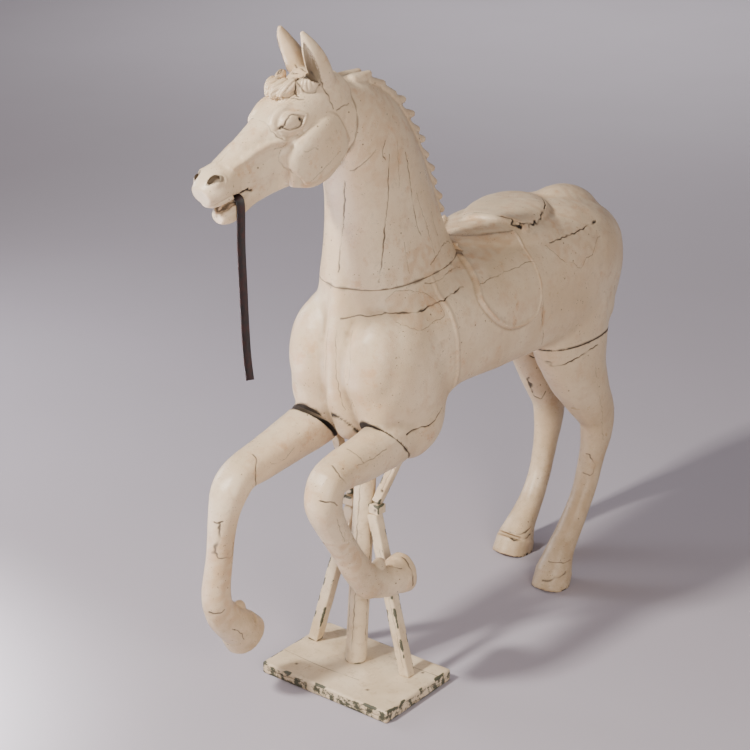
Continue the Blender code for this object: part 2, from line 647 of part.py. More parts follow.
def sloped_slab(name, ahead, shift, low_x, high_x):
    """Everything ahead of the forelegs' plane, or behind it, moved by shift along its normal."""
    made = bmesh.new()
    y, z = FORELEG_JOINT
    out = (-FAR / 2 if ahead else FAR / 2) + shift
    turn = Matrix.Rotation(math.radians(-FORELEG_SLOPE), 4, "X")
    bmesh.ops.create_cube(
        made, size=FAR, matrix=Matrix.Translation(((low_x + high_x) / 2, y, z)) @ turn
        @ Matrix.Translation((0, 0, out))
        @ Matrix.Diagonal(((high_x - low_x) / FAR, 2.0, 1.0, 1.0)))
    return piece(name, made)


# ---- the horse's pieces ---------------------------------------------------------------------------
def make_head(paint):
    obj = carving("head", [head, neck], [ears, forelock, eyes, muzzle], 0.0035, 4, 3450, paint)
    cut(obj, box("behind_head", (-FAR, HEAD_JOINT - JOINT_GAP / 2, 0), (FAR, FAR, 2 * FAR)),
        box("below_head", (-FAR, HEAD_JOINT - 0.15, 0), (FAR, FAR, THROAT)), mouth_wedge())
    for name, side in (("left", 1), ("right", -1)):
        cut(obj, piece("ear_hollow_" + name, scoop(side, EAR_HOLLOW, EAR_HOLLOW_RADII)),
            piece("nostril_" + name, scoop(side, NOSE_HOLLOW, NOSE_HOLLOW_RADII)))


def mouth_wedge():
    """The opening between the jaws, widening from the corners of the mouth to the lips."""
    made = bmesh.new()
    bmesh.ops.create_cube(made, size=1.0)
    corner, lips = on_head(0.256, 0.027), on_head(0.370, 0.012)
    way = (lips - corner).normalized()
    side = Vector((math.cos(math.radians(HEAD_TURN)), -math.sin(math.radians(HEAD_TURN)), 0))
    up = side.cross(way)
    for v in made.verts:
        high = MOUTH_LIPS if v.co.y > 0 else MOUTH_CORNER
        v.co = ((corner + lips) / 2 + way * v.co.y * (lips - corner).length
                + side * v.co.x * 0.12 + up * v.co.z * high)
    made.normal_update()
    bmesh.ops.recalc_face_normals(made, faces=made.faces)
    return piece("mouth", made)


MOUTH_CORNER = 0.007
MOUTH_LIPS = 0.016


def make_neck(paint):
    obj = carving("neck", [neck, chest, saddle], [mane], 0.004, 7, 3500, paint)
    cut(obj, box("below_neck", (-FAR, -FAR, 0), (FAR, FAR, NECK_JOINT + JOINT_GAP / 2)),
        box("ahead_of_neck", (-FAR, -FAR, THROAT), (FAR, HEAD_JOINT + JOINT_GAP / 2, 2 * FAR)),
        box("behind_neck", (-FAR, WITHERS - JOINT_GAP, 0), (FAR, FAR, 2 * FAR)))


def make_body(paint):
    obj = carving("body", [barrel, chest, croup, neck, stumps, saddle], [seat_plate], 0.006, 14,
                  3800, paint, saddle_relief)
    cut(obj, box("above_body", (-FAR, -FAR, NECK_JOINT - JOINT_GAP / 2),
                 (FAR, WITHERS, 2 * FAR)),
        sloped_slab("left_foreleg_room", True, JOINT_GAP / 2, BREAST, FAR),
        sloped_slab("right_foreleg_room", True, JOINT_GAP / 2, -FAR, -BREAST),
        box("hind_legs_room", (-FAR, BELLY, -FAR), (FAR, FAR, HIND_JOINT + JOINT_GAP / 2)))
    return obj


def make_legs(paint):
    for name, side in (("left", 1), ("right", -1)):
        gap = JOINT_GAP / 2 if side > 0 else FORELEG_GAP
        obj = carving(name + "_foreleg", [foreleg(side)], [], 0.004, 4, 560, paint)
        cut(obj, sloped_slab(name + "_shoulder", False, -gap, -FAR, FAR))
        obj = carving(name + "_hind_leg", [hind_leg(side)], [], 0.004, 4, 560, paint)
        cut(obj, box(name + "_thigh", (-FAR, -FAR, HIND_JOINT - JOINT_GAP / 2),
                     (FAR, FAR, 2 * FAR)),
            box(name + "_floor", (-FAR, -FAR, -FAR), (FAR, FAR, 0)))


# ---- the stand ------------------------------------------------------------------------------------
def make_stand(body, paint, wood):
    half = Vector((PLATE[0] / 2, PLATE[1] / 2, 0))
    centre = Vector((*PLATE_MIDDLE, 0))
    plate = box("base_plate", centre - half, centre + half + Vector((0, 0, PLATE[2])), wood)
    edge = plate.modifiers.new("Worn edges", "BEVEL")
    edge.width = 0.003
    edge.segments = 2

    on_plate = box("on_plate", (-FAR, -FAR, -FAR), (FAR, FAR, PLATE[2] + TOUCH))
    foot = (*POST_FOOT, PLATE[2])
    post = stick("post", foot, POST_TOP, 2 * POST_RADIUS, wood, sides=24, past=0.02)
    cut(post, on_plate)
    around_post = stick("around_post", foot, POST_TOP, 2 * POST_RADIUS, sides=24, grow=TOUCH,
                        past=0.02 + TOUCH)
    cut(body, around_post)

    for name, side in (("left", 1), ("right", -1)):
        def here(place):
            return (side * place[0], *place[1:])
        low = stick("lower_brace_" + name, here(LOWER_BRACE_FOOT), here(LOWER_BRACE_TOP),
                    LOWER_BRACE, wood, past=0.0)
        block_low = Vector((*here(LOWER_BRACE_TOP),))
        x = side * (POST_RADIUS + BLOCK[0] / 2 - 0.008)
        block_middle = Vector((x, LOWER_BRACE_TOP[1] + 0.002, LOWER_BRACE_TOP[2] + BLOCK[2] / 2))
        size = Vector(BLOCK) / 2
        block = box("brace_block_" + name, block_middle - size, block_middle + size, wood)
        room = Vector((0.02, 0.02, TOUCH))
        around_block = box("around_block_" + name, block_middle - size - room,
                           block_middle + size + room)
        high = stick("upper_brace_" + name, here(UPPER_BRACE_FOOT), here(UPPER_BRACE_TOP),
                     UPPER_BRACE, wood, past=0.0)
        socket = stick("brace_socket_" + name, here(UPPER_BRACE_FOOT), here(UPPER_BRACE_TOP),
                       UPPER_BRACE, grow=TOUCH, past=TOUCH)
        cut(low, on_plate, around_post, around_block)
        cut(block, around_post)
        cut(high, around_post, around_block)
        cut(body, socket)


# ---- the strap ------------------------------------------------------------------------------------
STRAP_PATH = [
    # x, y, z of the strap's middle line, from inside the mouth down to its loose end
    (-0.0340, -0.3200, 1.1525), (-0.0240, -0.3205, 1.1525), (-0.0165, -0.3210, 1.1515),
    (-0.0115, -0.3205, 1.1480), (-0.0095, -0.3200, 1.1410), (-0.0090, -0.3197, 1.1300),
    (-0.0092, -0.3198, 1.110), (-0.0098, -0.3202, 1.079), (-0.0100, -0.3203, 1.050),
    (-0.0095, -0.3200, 1.020), (-0.0088, -0.3195, 0.985), (-0.0082, -0.3188, 0.935),
    (-0.0072, -0.3180, 0.885), (-0.0060, -0.3172, 0.845), (-0.0042, -0.3158, 0.815),
    (-0.0021, -0.3141, 0.787),
]
STRAP_DIPS = (0.42, 0.42, 0.40, 0.25, 0.08)  # of its width at its first points, between the jaws


def make_strap(leather):
    """A flat strap: a strip of leather along the path, as wide as the strap, given thickness."""
    dips = [*STRAP_DIPS, *[0.0] * (len(STRAP_PATH) - len(STRAP_DIPS))]
    line = smooth_rows([(*place, dip) for place, dip in zip(STRAP_PATH, dips)], 2)
    facing = math.radians(STRAP_FACING)
    strip = bmesh.new()
    bmesh.ops.create_grid(strip, x_segments=1, y_segments=len(line) - 1, size=0.5)
    for v in strip.verts:
        x, y, z, dip = line[round((v.co.y + 0.5) * (len(line) - 1))]
        across = Vector((-math.sin(facing), math.cos(facing), dip)).normalized()
        v.co = Vector((x, y, z)) + across * (v.co.x * STRAP_WIDTH)
    strap = piece("leather_strap", strip, leather)
    thick = strap.modifiers.new("Leather", "SOLIDIFY")
    thick.thickness = STRAP_THICKNESS
    thick.offset = 0.0


def main():
    global parts, cutters, middle
    clear_scene()
    parts = bpy.data.collections.new("carousel_horse")
    cutters = bpy.data.collections.new("cutters")
    for collection in (parts, cutters):
        bpy.context.scene.collection.children.link(collection)
    middle = bpy.data.objects.new("middle", None)
    middle.location = MIDDLE
    parts.objects.link(middle)

    paint = finish("old cream paint", PAINT, 0.42)
    wood = finish("painted stand", BARE_WOOD, 0.6)
    leather = finish("rein leather", LEATHER, 0.5)
    make_head(paint)
    make_neck(paint)
    body = make_body(paint)
    make_legs(paint)
    make_stand(body, paint, wood)
    make_strap(leather)


main()
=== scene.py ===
# %% [markdown]
# # A carved carousel horse on its stand
#
# The real object is a small merry-go-round horse. It was glued up from blocks of softwood, carved,
# primed and painted cream, and it has aged: the glue joints have opened, the wood has split along
# its grain and the paint has flaked and yellowed. A post with four braces on a plate holds it up.
#
# The engineering model gives its blocks as plain solids. This script makes each block again as a
# fine carved skin in the same place, and gives every surface its real finish.

# %% Load the frame
import math

import bmesh
import bpy
import numpy as np
from mathutils import Euler, Matrix, Vector


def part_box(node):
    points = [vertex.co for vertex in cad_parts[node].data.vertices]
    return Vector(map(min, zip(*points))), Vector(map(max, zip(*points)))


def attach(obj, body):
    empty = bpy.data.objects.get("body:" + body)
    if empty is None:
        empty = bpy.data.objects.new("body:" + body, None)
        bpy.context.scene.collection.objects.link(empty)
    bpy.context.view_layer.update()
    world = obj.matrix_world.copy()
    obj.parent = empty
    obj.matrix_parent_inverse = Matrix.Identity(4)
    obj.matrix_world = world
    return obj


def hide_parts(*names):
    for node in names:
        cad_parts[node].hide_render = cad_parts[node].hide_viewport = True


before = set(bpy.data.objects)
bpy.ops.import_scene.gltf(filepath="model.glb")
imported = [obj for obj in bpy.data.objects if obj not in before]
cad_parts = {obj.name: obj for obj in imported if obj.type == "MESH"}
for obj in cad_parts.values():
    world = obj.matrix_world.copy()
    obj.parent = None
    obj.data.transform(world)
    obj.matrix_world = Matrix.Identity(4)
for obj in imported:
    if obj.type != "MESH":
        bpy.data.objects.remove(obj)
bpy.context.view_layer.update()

# %% [markdown]
# All the forms below are worked out from one point, the foot of the stand's post, because a
# maker would set the stand up first. The plate of the stand tells where that point is.

# %% The foot of the post
PLATE_MIDDLE = Vector((0.017, -0.015, 0.0))  # of the plate, from the foot of the post
plate_low, plate_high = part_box("base_plate")
foot = (plate_low + plate_high) / 2 - PLATE_MIDDLE
foot.z = 0.0
print("the post's foot is at", [round(c, 4) for c in foot])

# %% [markdown]
# Three small tools are used all through: one puts an object into the scene, one turns a finished
# bmesh into a mesh, and one keeps a share between nothing and all.

# %% Small tools


def placed(name, data):
    """A new object in the scene."""
    obj = bpy.data.objects.new(name, data)
    bpy.context.scene.collection.objects.link(obj)
    return obj


def mesh_of(name, form):
    """The mesh of a bmesh, which goes."""
    mesh = bpy.data.meshes.new(name)
    form.to_mesh(mesh)
    form.free()
    return mesh


def limited(share):
    """Shares kept from 0 to 1."""
    return np.clip(share, 0, 1)


print("shares of -1 and 2 are kept at", limited(np.array([-1, 2])))

# %% [markdown]
# The camera stands ahead of the horse, to its left and a little above it, and far off, as for a
# catalogue, so that the legs aren't drawn out of proportion. It is placed by the way it looks:
# two angles, a distance, and how far its axis passes beside the foot of the post and above it.

# %% Camera
CAMERA_ROUND, CAMERA_UP = math.radians(38.14), math.radians(21.58)
CAMERA_DISTANCE, CAMERA_BESIDE, CAMERA_ABOVE = 4.179, 0.0452, 0.6512
LENS = 91.2  # mm, on a 36 mm sensor

back = Vector((math.sin(CAMERA_ROUND) * math.cos(CAMERA_UP),
               -math.cos(CAMERA_ROUND) * math.cos(CAMERA_UP), math.sin(CAMERA_UP)))
right = Vector((math.cos(CAMERA_ROUND), math.sin(CAMERA_ROUND), 0))
up = back.cross(right)
camera = placed("camera", bpy.data.cameras.new("camera"))
camera.data.lens = LENS
turn = Matrix((right, up, back)).transposed().to_4x4()
place = foot + right * CAMERA_BESIDE + up * CAMERA_ABOVE + back * CAMERA_DISTANCE
camera.matrix_world = Matrix.Translation(place) @ turn
bpy.context.scene.camera = camera
print("the camera is", round(place.length, 2), "m from the origin")

# %% [markdown]
# Colours are written as a painter's hex codes, which are sRGB, and Blender works in linear light,
# so one function turns them. Another adds a node with its settings and its links, which keeps
# each material below to a few lines that can be read from the top down.

# %% Tools for materials


def linear(code):
    """The linear colour of an sRGB hex code."""
    channels = [int(code[i : i + 2], 16) / 255 for i in (1, 3, 5)]
    return (*[c / 12.92 if c <= 0.04045 else ((c + 0.055) / 1.055) ** 2.4 for c in channels], 1.0)


def node(tree, kind, inputs=None, **properties):
    """Adds a node. inputs say what goes into its sockets, by name or number: a number, a colour
    code, or another node's output."""
    made = tree.nodes.new("ShaderNode" + kind)
    for name, value in properties.items():
        setattr(made, name, value)
    for socket, value in (inputs or {}).items():
        if isinstance(value, bpy.types.NodeSocket):
            tree.links.new(value, made.inputs[socket])
        else:
            made.inputs[socket].default_value = linear(value) if isinstance(value, str) else value
    return made


def new_material(name):
    """An empty material, its tree, and the place of the pattern on the piece in metres."""
    made = bpy.data.materials.new(name)
    made.use_nodes = True
    made.node_tree.nodes.clear()
    return made, made.node_tree, node(made.node_tree, "TexCoord").outputs["Object"]


def carried(tree, name):
    """A number that the carving leaves on every vertex."""
    return node(tree, "Attribute", attribute_name=name).outputs["Fac"]


def spread(tree, value, low, high, to_low=0.0, to_high=1.0):
    """Stretches the stretch from low to high of a value over another one."""
    return node(tree, "MapRange", {"Value": value, "From Min": low, "From Max": high,
                                   "To Min": to_low, "To Max": to_high}).outputs[0]


def blend(tree, share, one, other):
    """Mixes two colours."""
    return node(tree, "Mix", {0: share, 6: one, 7: other}, data_type="RGBA").outputs[2]


def wash(tree, colour, code, value, low, high, most=1.0):
    """Lays a thin coat over a colour: none where the value is low, the most where it is high."""
    return blend(tree, spread(tree, value, low, high, 0.0, most), colour, code)


def product(tree, one, other):
    return node(tree, "Math", {0: one, 1: other}, operation="MULTIPLY").outputs[0]


def noise(tree, place, size, detail=3.0, rough=0.55):
    """Noise with lumps of about that size in metres, from 0 to 1."""
    return node(tree, "TexNoise", {"Vector": place, "Scale": 1 / size, "Detail": detail,
                                   "Roughness": rough}).outputs["Fac"]


def finish(tree, colour, roughness, bump=None, bump_depth=0.0):
    """Ends a material in one Principled shader."""
    inputs = {"Base Color": colour, "Roughness": roughness}
    if bump is not None:
        inputs["Normal"] = node(tree, "Bump", {"Height": bump, "Strength": 1.0,
                                               "Distance": bump_depth}).outputs[0]
    shader = node(tree, "BsdfPrincipled", inputs)
    node(tree, "OutputMaterial", {"Surface": shader.outputs[0]})


print("white is", linear("#FFFFFF"))

# %% [markdown]
# ** The paint.** Park carvers used white lead oil paint over a chalky primer, brushed on in many
# coats, and later owners overpainted it. What the eye meets is a satin cream skin: warmer and
# thinner in some places, where the tan primer shows through, greyer in others, with brown dirt
# caught in every crack and hollow and short dark specks where it has chipped. Hollows and the
# carved creases of the face are also painted darker as shade, and so are the mouth, the pupils
# and the insides of the ears and nostrils. Three numbers that the carving below leaves on every
# vertex say where the dirt and the painted shade are ("grime_and_shade"), how deep in a hollow
# a point lies ("hollow") and how far the paint has worn off ("bare").

# %% Material: brushed and aged cream oil paint
NICK_SPACING = 0.026  # of the places where a nick may be, of which about a third have one
BRUSH_MARK, BRUSH_DEPTH = 0.0030, 0.0006  # width and relief of the marks of the brush


def old_paint():
    made, tree, place = new_material("aged_cream_oil_paint")
    grime_and_shade, hollow, bare = [carried(tree, name) for name in ("grime_and_shade", "hollow", "bare")]
    broad, patchy = noise(tree, place, 0.140, 2.0), noise(tree, place, 0.035, 5.0, 0.65)
    worn, soot = noise(tree, place, 0.060, 6.0, 0.7), noise(tree, place, 0.022, 6.0, 0.75)
    colour = blend(tree, spread(tree, broad, 0.35, 0.65), "#CDB592", "#DCC8A9")
    colour = wash(tree, colour, "#C3A380", patchy, 0.50, 0.72, 0.6)
    colour = wash(tree, colour, "#C0946A", worn, 0.58, 0.66, 0.5)
    colour = blend(tree, product(tree, bare, 0.55), colour, "#B98F66")
    # Hollows go darker and browner: dirt in them, and painted shade.
    colour = wash(tree, colour, "#8F7759", hollow, 0.05, 0.9, 0.75)
    # Darker and browner lower down, in patches.
    height = node(tree, "SeparateXYZ", {0: place}).outputs[2]
    low = product(tree, spread(tree, height, 0.55, 0.15, 0.0, 0.75), spread(tree, worn, 0.35, 0.60))
    colour = blend(tree, low, colour, "#B29A78")
    colour = wash(tree, colour, "#A08C76", soot, 0.56, 0.74, 0.45)
    specks, rare = noise(tree, place, 0.0042, 2.0, 0.6), noise(tree, place, 0.050, 2.0)
    speck = product(tree, spread(tree, specks, 0.67, 0.71), spread(tree, rare, 0.47, 0.58))
    colour = blend(tree, speck, colour, "#6B5238")
    cells = node(tree, "TexVoronoi", {"Vector": place, "Scale": 1 / NICK_SPACING})
    chosen = node(tree, "SeparateColor", {0: cells.outputs["Color"]}).outputs[0]
    nick = product(tree, spread(tree, cells.outputs["Distance"], 0.085, 0.060),
                   spread(tree, chosen, 0.60, 0.66))
    colour = blend(tree, product(tree, nick, 0.8), colour, "#4A3826")
    # Near black in splits and glue joints, as dirt, and in the mouth, the pupils, the hollows of ears
    # and nostrils and the face's creases, as painted shade.
    colour = blend(tree, grime_and_shade, colour, "#1E140C")
    brush = noise(tree, place, BRUSH_MARK, 4.0, 0.7)
    roughness = node(tree, "Math", {0: spread(tree, patchy, 0.3, 0.7, 0.26, 0.40),
                                    1: product(tree, grime_and_shade, 0.5)}, operation="ADD").outputs[0]
    finish(tree, colour, roughness, brush, BRUSH_DEPTH)
    return made


paint = old_paint()
print("made", paint.name)

# %% [markdown]
# **The stand** was knocked together from square softwood battens and got one coat of the same
# paint, so it is duller, and the worn edges show an older dark green coat and the wood.

# %% Material: thinly painted softwood


def thin_paint():
    made, tree, place = new_material("thinly_painted_softwood")
    grime_and_shade, bare = carried(tree, "grime_and_shade"), carried(tree, "bare")
    broad, patchy = noise(tree, place, 0.090, 3.0), noise(tree, place, 0.018, 6.0, 0.7)
    colour = blend(tree, spread(tree, broad, 0.35, 0.65), "#C9B391", "#DCCAAC")
    colour = wash(tree, colour, "#AD9473", patchy, 0.52, 0.70, 0.6)
    colour = wash(tree, colour, "#4A4A38", product(tree, bare, patchy), 0.34, 0.40)
    colour = blend(tree, grime_and_shade, colour, "#33261A")
    roughness = spread(tree, patchy, 0.3, 0.7, 0.45, 0.65)
    finish(tree, colour, roughness, noise(tree, place, 0.002, 4.0), 0.0004)
    return made


stand_paint = thin_paint()
print("made", stand_paint.name)

# %% [markdown]
# **The strap** is all that is left of the reins: bridle leather, dyed dark brown and dried out.

# %% Material: dry dyed bridle leather


def leather():
    made, tree, place = new_material("dry_dyed_bridle_leather")
    worn = noise(tree, place, 0.012, 4.0, 0.65)
    colour = blend(tree, spread(tree, worn, 0.42, 0.62), "#0F0706", "#30110D")
    grain = node(tree, "TexVoronoi", {"Vector": place, "Scale": 700.0}).outputs["Distance"]
    finish(tree, colour, spread(tree, worn, 0.3, 0.7, 0.38, 0.6), grain, 0.0003)
    return made


strap_leather = leather()
print("made", strap_leather.name)

# %% [markdown]
# **Curves.** A carver thinks in a few stations and lets the knife run fair between them. The
# Catmull-Rom curve does the same: it passes through every row of numbers and stays smooth.

# %% Fair curves


def smooth_rows(rows, per_span):
    """Rows of numbers made finer by a Catmull-Rom curve through them."""
    rows = np.array(rows, float)
    padded = np.vstack([2 * rows[0] - rows[1], rows, 2 * rows[-1] - rows[-2]])
    fine = []
    for i in range(1, len(padded) - 2):
        a, b, c, d = padded[i - 1 : i + 3]
        for t in np.arange(per_span) / per_span:
            fine.append(0.5 * (2 * b + (c - a) * t + (2 * a - 5 * b + 4 * c - d) * t**2
                               + (3 * b - a - 3 * c + d) * t**3))
    fine.append(rows[-1])
    return np.array(fine)


def finished(name, mesh, material, slot, *nodes):
    """Puts a mesh worked out from the post's foot where the model has it, for those nodes."""
    mesh.transform(Matrix.Translation(foot))
    mesh.shade_smooth()
    mesh.materials.clear()
    mesh.materials.append(material)
    obj = placed(name, mesh)
    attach(obj, "root")
    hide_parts(*nodes)
    print(name, "has", sum(len(p.vertices) - 2 for p in mesh.polygons), "triangles")
    return obj


print("a curve of 3 rows has", len(smooth_rows([(0, 0), (1, 1), (2, 0)], 4)), "points")

# %% [markdown]
# **The strap's shape.** It comes out between the jaws, turns over the lip and hangs limp to its
# loose end, so its length is what shows. A strip from `create_grid` follows the path, edge on
# between the teeth and flat where it hangs, and Solidify gives it the thickness of leather.

# %% The strap
STRAP_PATH = [
    # x, y, z of the strap's middle line, from inside the mouth down to its loose end
    (-0.0340, -0.3200, 1.1525), (-0.0240, -0.3205, 1.1525), (-0.0165, -0.3210, 1.1515),
    (-0.0115, -0.3205, 1.1480), (-0.0095, -0.3200, 1.1410), (-0.0090, -0.3197, 1.1300),
    (-0.0092, -0.3198, 1.110), (-0.0098, -0.3202, 1.079), (-0.0100, -0.3203, 1.050),
    (-0.0095, -0.3200, 1.020), (-0.0088, -0.3195, 0.985), (-0.0082, -0.3188, 0.935),
    (-0.0072, -0.3180, 0.885), (-0.0060, -0.3172, 0.845), (-0.0042, -0.3158, 0.815),
    (-0.0021, -0.3141, 0.787),
]
STRAP_DIPS = (0.42, 0.42, 0.40, 0.25, 0.08)  # of its width at its first points, between the jaws
STRAP_WIDTH, STRAP_THICKNESS, STRAP_ROUNDING = 0.017, 0.003, 0.0007
STRAP_CUP = 0.0035  # how far a strip as wide as it is long would cup
STRAP_FACING = math.radians(-25)


def make_strap():
    dips = [*STRAP_DIPS, *[0.0] * (len(STRAP_PATH) - len(STRAP_DIPS))]
    line = smooth_rows([(*p, dip) for p, dip in zip(STRAP_PATH, dips)], 5)
    strip = bmesh.new()
    bmesh.ops.create_grid(strip, x_segments=6, y_segments=len(line) - 1, size=0.5)
    facing = Vector((math.cos(STRAP_FACING), math.sin(STRAP_FACING), 0))
    for v in strip.verts:
        x, y, z, dip = line[round((v.co.y + 0.5) * (len(line) - 1))]
        across = Vector((-math.sin(STRAP_FACING), math.cos(STRAP_FACING), dip)).normalized()
        cup = (v.co.x**2 - 0.08) * STRAP_CUP * facing
        v.co = Vector((x, y, z)) + across * (v.co.x * STRAP_WIDTH) + cup
    obj = finished("rein_strap", mesh_of("rein_strap", strip), strap_leather, "rein_leather",
                   "leather_strap")
    thick = obj.modifiers.new("Leather", "SOLIDIFY")
    thick.thickness = STRAP_THICKNESS
    thick.offset = 0.0
    rounded = obj.modifiers.new("Edges", "BEVEL")
    rounded.width = STRAP_ROUNDING
    rounded.segments = 2
    route = line[:, :3] + np.array(foot)
    length = float(np.linalg.norm(np.diff(route, axis=0), axis=1).sum())
    return length


print("the strap is", round(make_strap(), 3), "m long")

# %% [markdown]
# **Clay.** The horse is one flowing form with no flat face on it, so it is built as a sculptor
# would: overlapping closed forms of clay, which a voxel remesh then fuses into one skin. Each
# form starts from an operator's closed shape. A loft is a capped cylinder whose sides are cut
# into rings, and each ring is then moved and shaped to its station.

# %% Tools for clay
RIPPLES = ((0.070, 1.0), (0.018, 0.25))  # size of the ripples, and their share of the depth


def loft(clay, stations, taper=0.0, flatten=1.0, per_span=4, around=28):
    """Adds a closed form through stations of (x, y, z, half width, depth on the plus side,
    depth on the minus side, squareness). The plus side is X cross the direction of travel."""
    rows = smooth_rows(stations, per_span)
    ways = np.gradient(rows[:, :3], axis=0)
    tube = bmesh.new()
    bmesh.ops.create_cone(tube, cap_ends=True, segments=around, radius1=1, radius2=1,
                          depth=len(rows) - 1)
    upright = [e for e in tube.edges if abs(e.verts[0].co.z - e.verts[1].co.z) > 0.5]
    bmesh.ops.subdivide_edges(tube, edges=upright, cuts=len(rows) - 2)
    for v in tube.verts:
        x, y, z, width, plus, minus, square = rows[round(v.co.z + (len(rows) - 1) / 2)]
        way = Vector(ways[round(v.co.z + (len(rows) - 1) / 2)]).normalized()
        side = (Vector((1, 0, 0)) - way * way.x).normalized()
        c, s = v.co.x, v.co.y
        power = 2 / (square if s > 0 else square * flatten)
        across = width * math.copysign(abs(c) ** power, c) * (1 + taper * s)
        deep = (plus if s > 0 else minus) * math.copysign(abs(s) ** power, s)
        v.co = Vector((x, y, z)) + side * across + side.cross(way) * deep
    join(clay, tube)


def join(clay, part):
    """Adds a finished closed form to the clay, facing outwards. Each form is made in a bmesh of
    its own, because an operator grows slow in a dense one."""
    bmesh.ops.recalc_face_normals(part, faces=part.faces)
    carrier = mesh_of("part", part)
    clay.from_mesh(carrier)
    bpy.data.meshes.remove(carrier)


def lump(clay, centre, radii, turn=(0, 0, 0)):
    """Adds an ellipsoid of clay, turned by degrees about X, then Y, then Z."""
    spin = Euler([math.radians(angle) for angle in turn]).to_matrix().to_4x4()
    ball = bmesh.new()
    bmesh.ops.create_uvsphere(ball, u_segments=24, v_segments=14, radius=1.0,
                              matrix=Matrix.Translation(centre) @ spin
                              @ Matrix.Diagonal((*radii, 1.0)))
    join(clay, ball)


def roll(clay, points, radii, square=2.0, around=14):
    """Adds a rounded roll of clay through points, with one radius or one for each of them."""
    radii = [radii] * len(points) if isinstance(radii, float) else radii
    loft(clay, [(*p, r, r, r, square) for p, r in zip(points, radii)], around=around)
    for p, r in ((points[0], radii[0]), (points[-1], radii[-1])):
        lump(clay, p, (r, r, r))


def skin_of(clay, voxel, softness, ripple=0.0):
    """The clay's forms fused into one closed skin and smoothed, with hand-carved ripples."""
    obj = placed("clay", mesh_of("clay", clay))
    fuse = obj.modifiers.new("Fuse", "REMESH")
    fuse.mode = "VOXEL"
    fuse.voxel_size = voxel
    soften = obj.modifiers.new("Soften", "SMOOTH")
    soften.factor = 0.5
    soften.iterations = softness
    for size, share in RIPPLES if ripple else ():
        lumps = bpy.data.textures.new("ripple", "CLOUDS")
        lumps.noise_scale = size
        carve = obj.modifiers.new("Ripple", "DISPLACE")
        carve.texture = lumps
        carve.strength = 2 * ripple * share
    return evaluated(obj)


def evaluated(obj):
    """The mesh that an object's modifiers give. The object goes."""
    graph = bpy.context.evaluated_depsgraph_get()
    mesh = bpy.data.meshes.new_from_object(obj.evaluated_get(graph))
    source = obj.data
    bpy.data.objects.remove(obj)
    bpy.data.meshes.remove(source)
    return mesh


def cut(mesh, *cutters):
    """The mesh less each of the cutters, which are bmeshes."""
    obj = placed("block", mesh)
    tools = []
    for cutter in cutters:
        bmesh.ops.recalc_face_normals(cutter, faces=cutter.faces)
        tool = placed("cutter", mesh_of("cutter", cutter))
        boolean = obj.modifiers.new("Cut", "BOOLEAN")
        boolean.operation = "DIFFERENCE"
        boolean.solver = "MANIFOLD"
        boolean.object = tool
        tools.append(tool)
    made = evaluated(obj)
    for tool in tools:
        bpy.data.objects.remove(tool)
    return made


def cube(matrix, size=1.0):
    """A bmesh cube, moved by a matrix."""
    made = bmesh.new()
    bmesh.ops.create_cube(made, size=size, matrix=matrix)
    return made


def box(low, high):
    """A bmesh box between two corners."""
    low, high = Vector(low), Vector(high)
    return cube(Matrix.Translation((low + high) / 2) @ Matrix.Diagonal((*(high - low), 1.0)))


test = bmesh.new()
loft(test, [(0, 0, 0, 0.1, 0.1, 0.1, 2), (0, 0.2, 0, 0.2, 0.2, 0.2, 2), (0, 0.4, 0, 0.1, 0.1, 0.1, 2)])
print("a loft of 3 stations has", len(test.verts), "vertices")
test.free()

# %% [markdown]
# **Trunk.** The barrel is one loft from the breast to the dock. The breast has two full lobes
# with a keel between them, the croup is two rounded quarters with the dock's knob over them, and
# the saddle with its seat is carved in one with the back.

# %% Trunk


def barrel(clay):
    loft(clay, [
        # x, y, z, half width, up, down, squareness
        (0, -0.052, 0.750, 0.030, 0.050, 0.060, 2.0),
        (0, -0.044, 0.750, 0.070, 0.085, 0.110, 2.1),
        (0, -0.018, 0.750, 0.112, 0.125, 0.155, 2.2),
        (0, 0.040, 0.750, 0.142, 0.148, 0.180, 2.2),
        (0, 0.120, 0.760, 0.157, 0.142, 0.146, 2.2),
        (0, 0.200, 0.775, 0.163, 0.127, 0.144, 2.2),
        (0, 0.320, 0.775, 0.165, 0.128, 0.149, 2.2),
        (0, 0.450, 0.775, 0.165, 0.140, 0.156, 2.2),
        (0, 0.600, 0.775, 0.164, 0.150, 0.157, 2.4),
        (0, 0.700, 0.770, 0.158, 0.155, 0.153, 2.4),
        (0, 0.780, 0.750, 0.146, 0.155, 0.150, 2.4),
        (0, 0.840, 0.725, 0.128, 0.145, 0.140, 2.4),
        (0, 0.878, 0.712, 0.104, 0.124, 0.122, 2.2),
        (0, 0.899, 0.705, 0.072, 0.090, 0.092, 2.0),
        (0, 0.908, 0.702, 0.032, 0.045, 0.045, 2.0),
    ], flatten=1.7, around=48)


def chest(clay):
    lump(clay, (0, 0.045, 0.820), (0.120, 0.088, 0.110))
    for side in (1, -1):
        lump(clay, (side * 0.074, -0.016, 0.752), (0.064, 0.068, 0.112), (-10, 0, 0))
        lump(clay, (side * 0.082, -0.008, 0.680), (0.058, 0.064, 0.100))
        lump(clay, (side * 0.106, 0.060, 0.705), (0.054, 0.115, 0.155), (8, 0, 0))
        lump(clay, (side * 0.102, 0.070, 0.612), (0.052, 0.092, 0.092))
    roll(clay, [(0, -0.010, 0.960), (0, -0.026, 0.900), (0, -0.042, 0.830), (0, -0.052, 0.750),
                (0, -0.042, 0.660), (0, -0.010, 0.590)],
         [0.030, 0.028, 0.026, 0.026, 0.028, 0.032])


def croup(clay):
    for side in (1, -1):
        lump(clay, (side * 0.080, 0.700, 0.790), (0.076, 0.165, 0.112), (-8, 0, 0))
        lump(clay, (side * 0.082, 0.768, 0.668), (0.064, 0.080, 0.085))
    lump(clay, (0, 0.790, 0.868), (0.062, 0.124, 0.064), (-16, 0, 0))


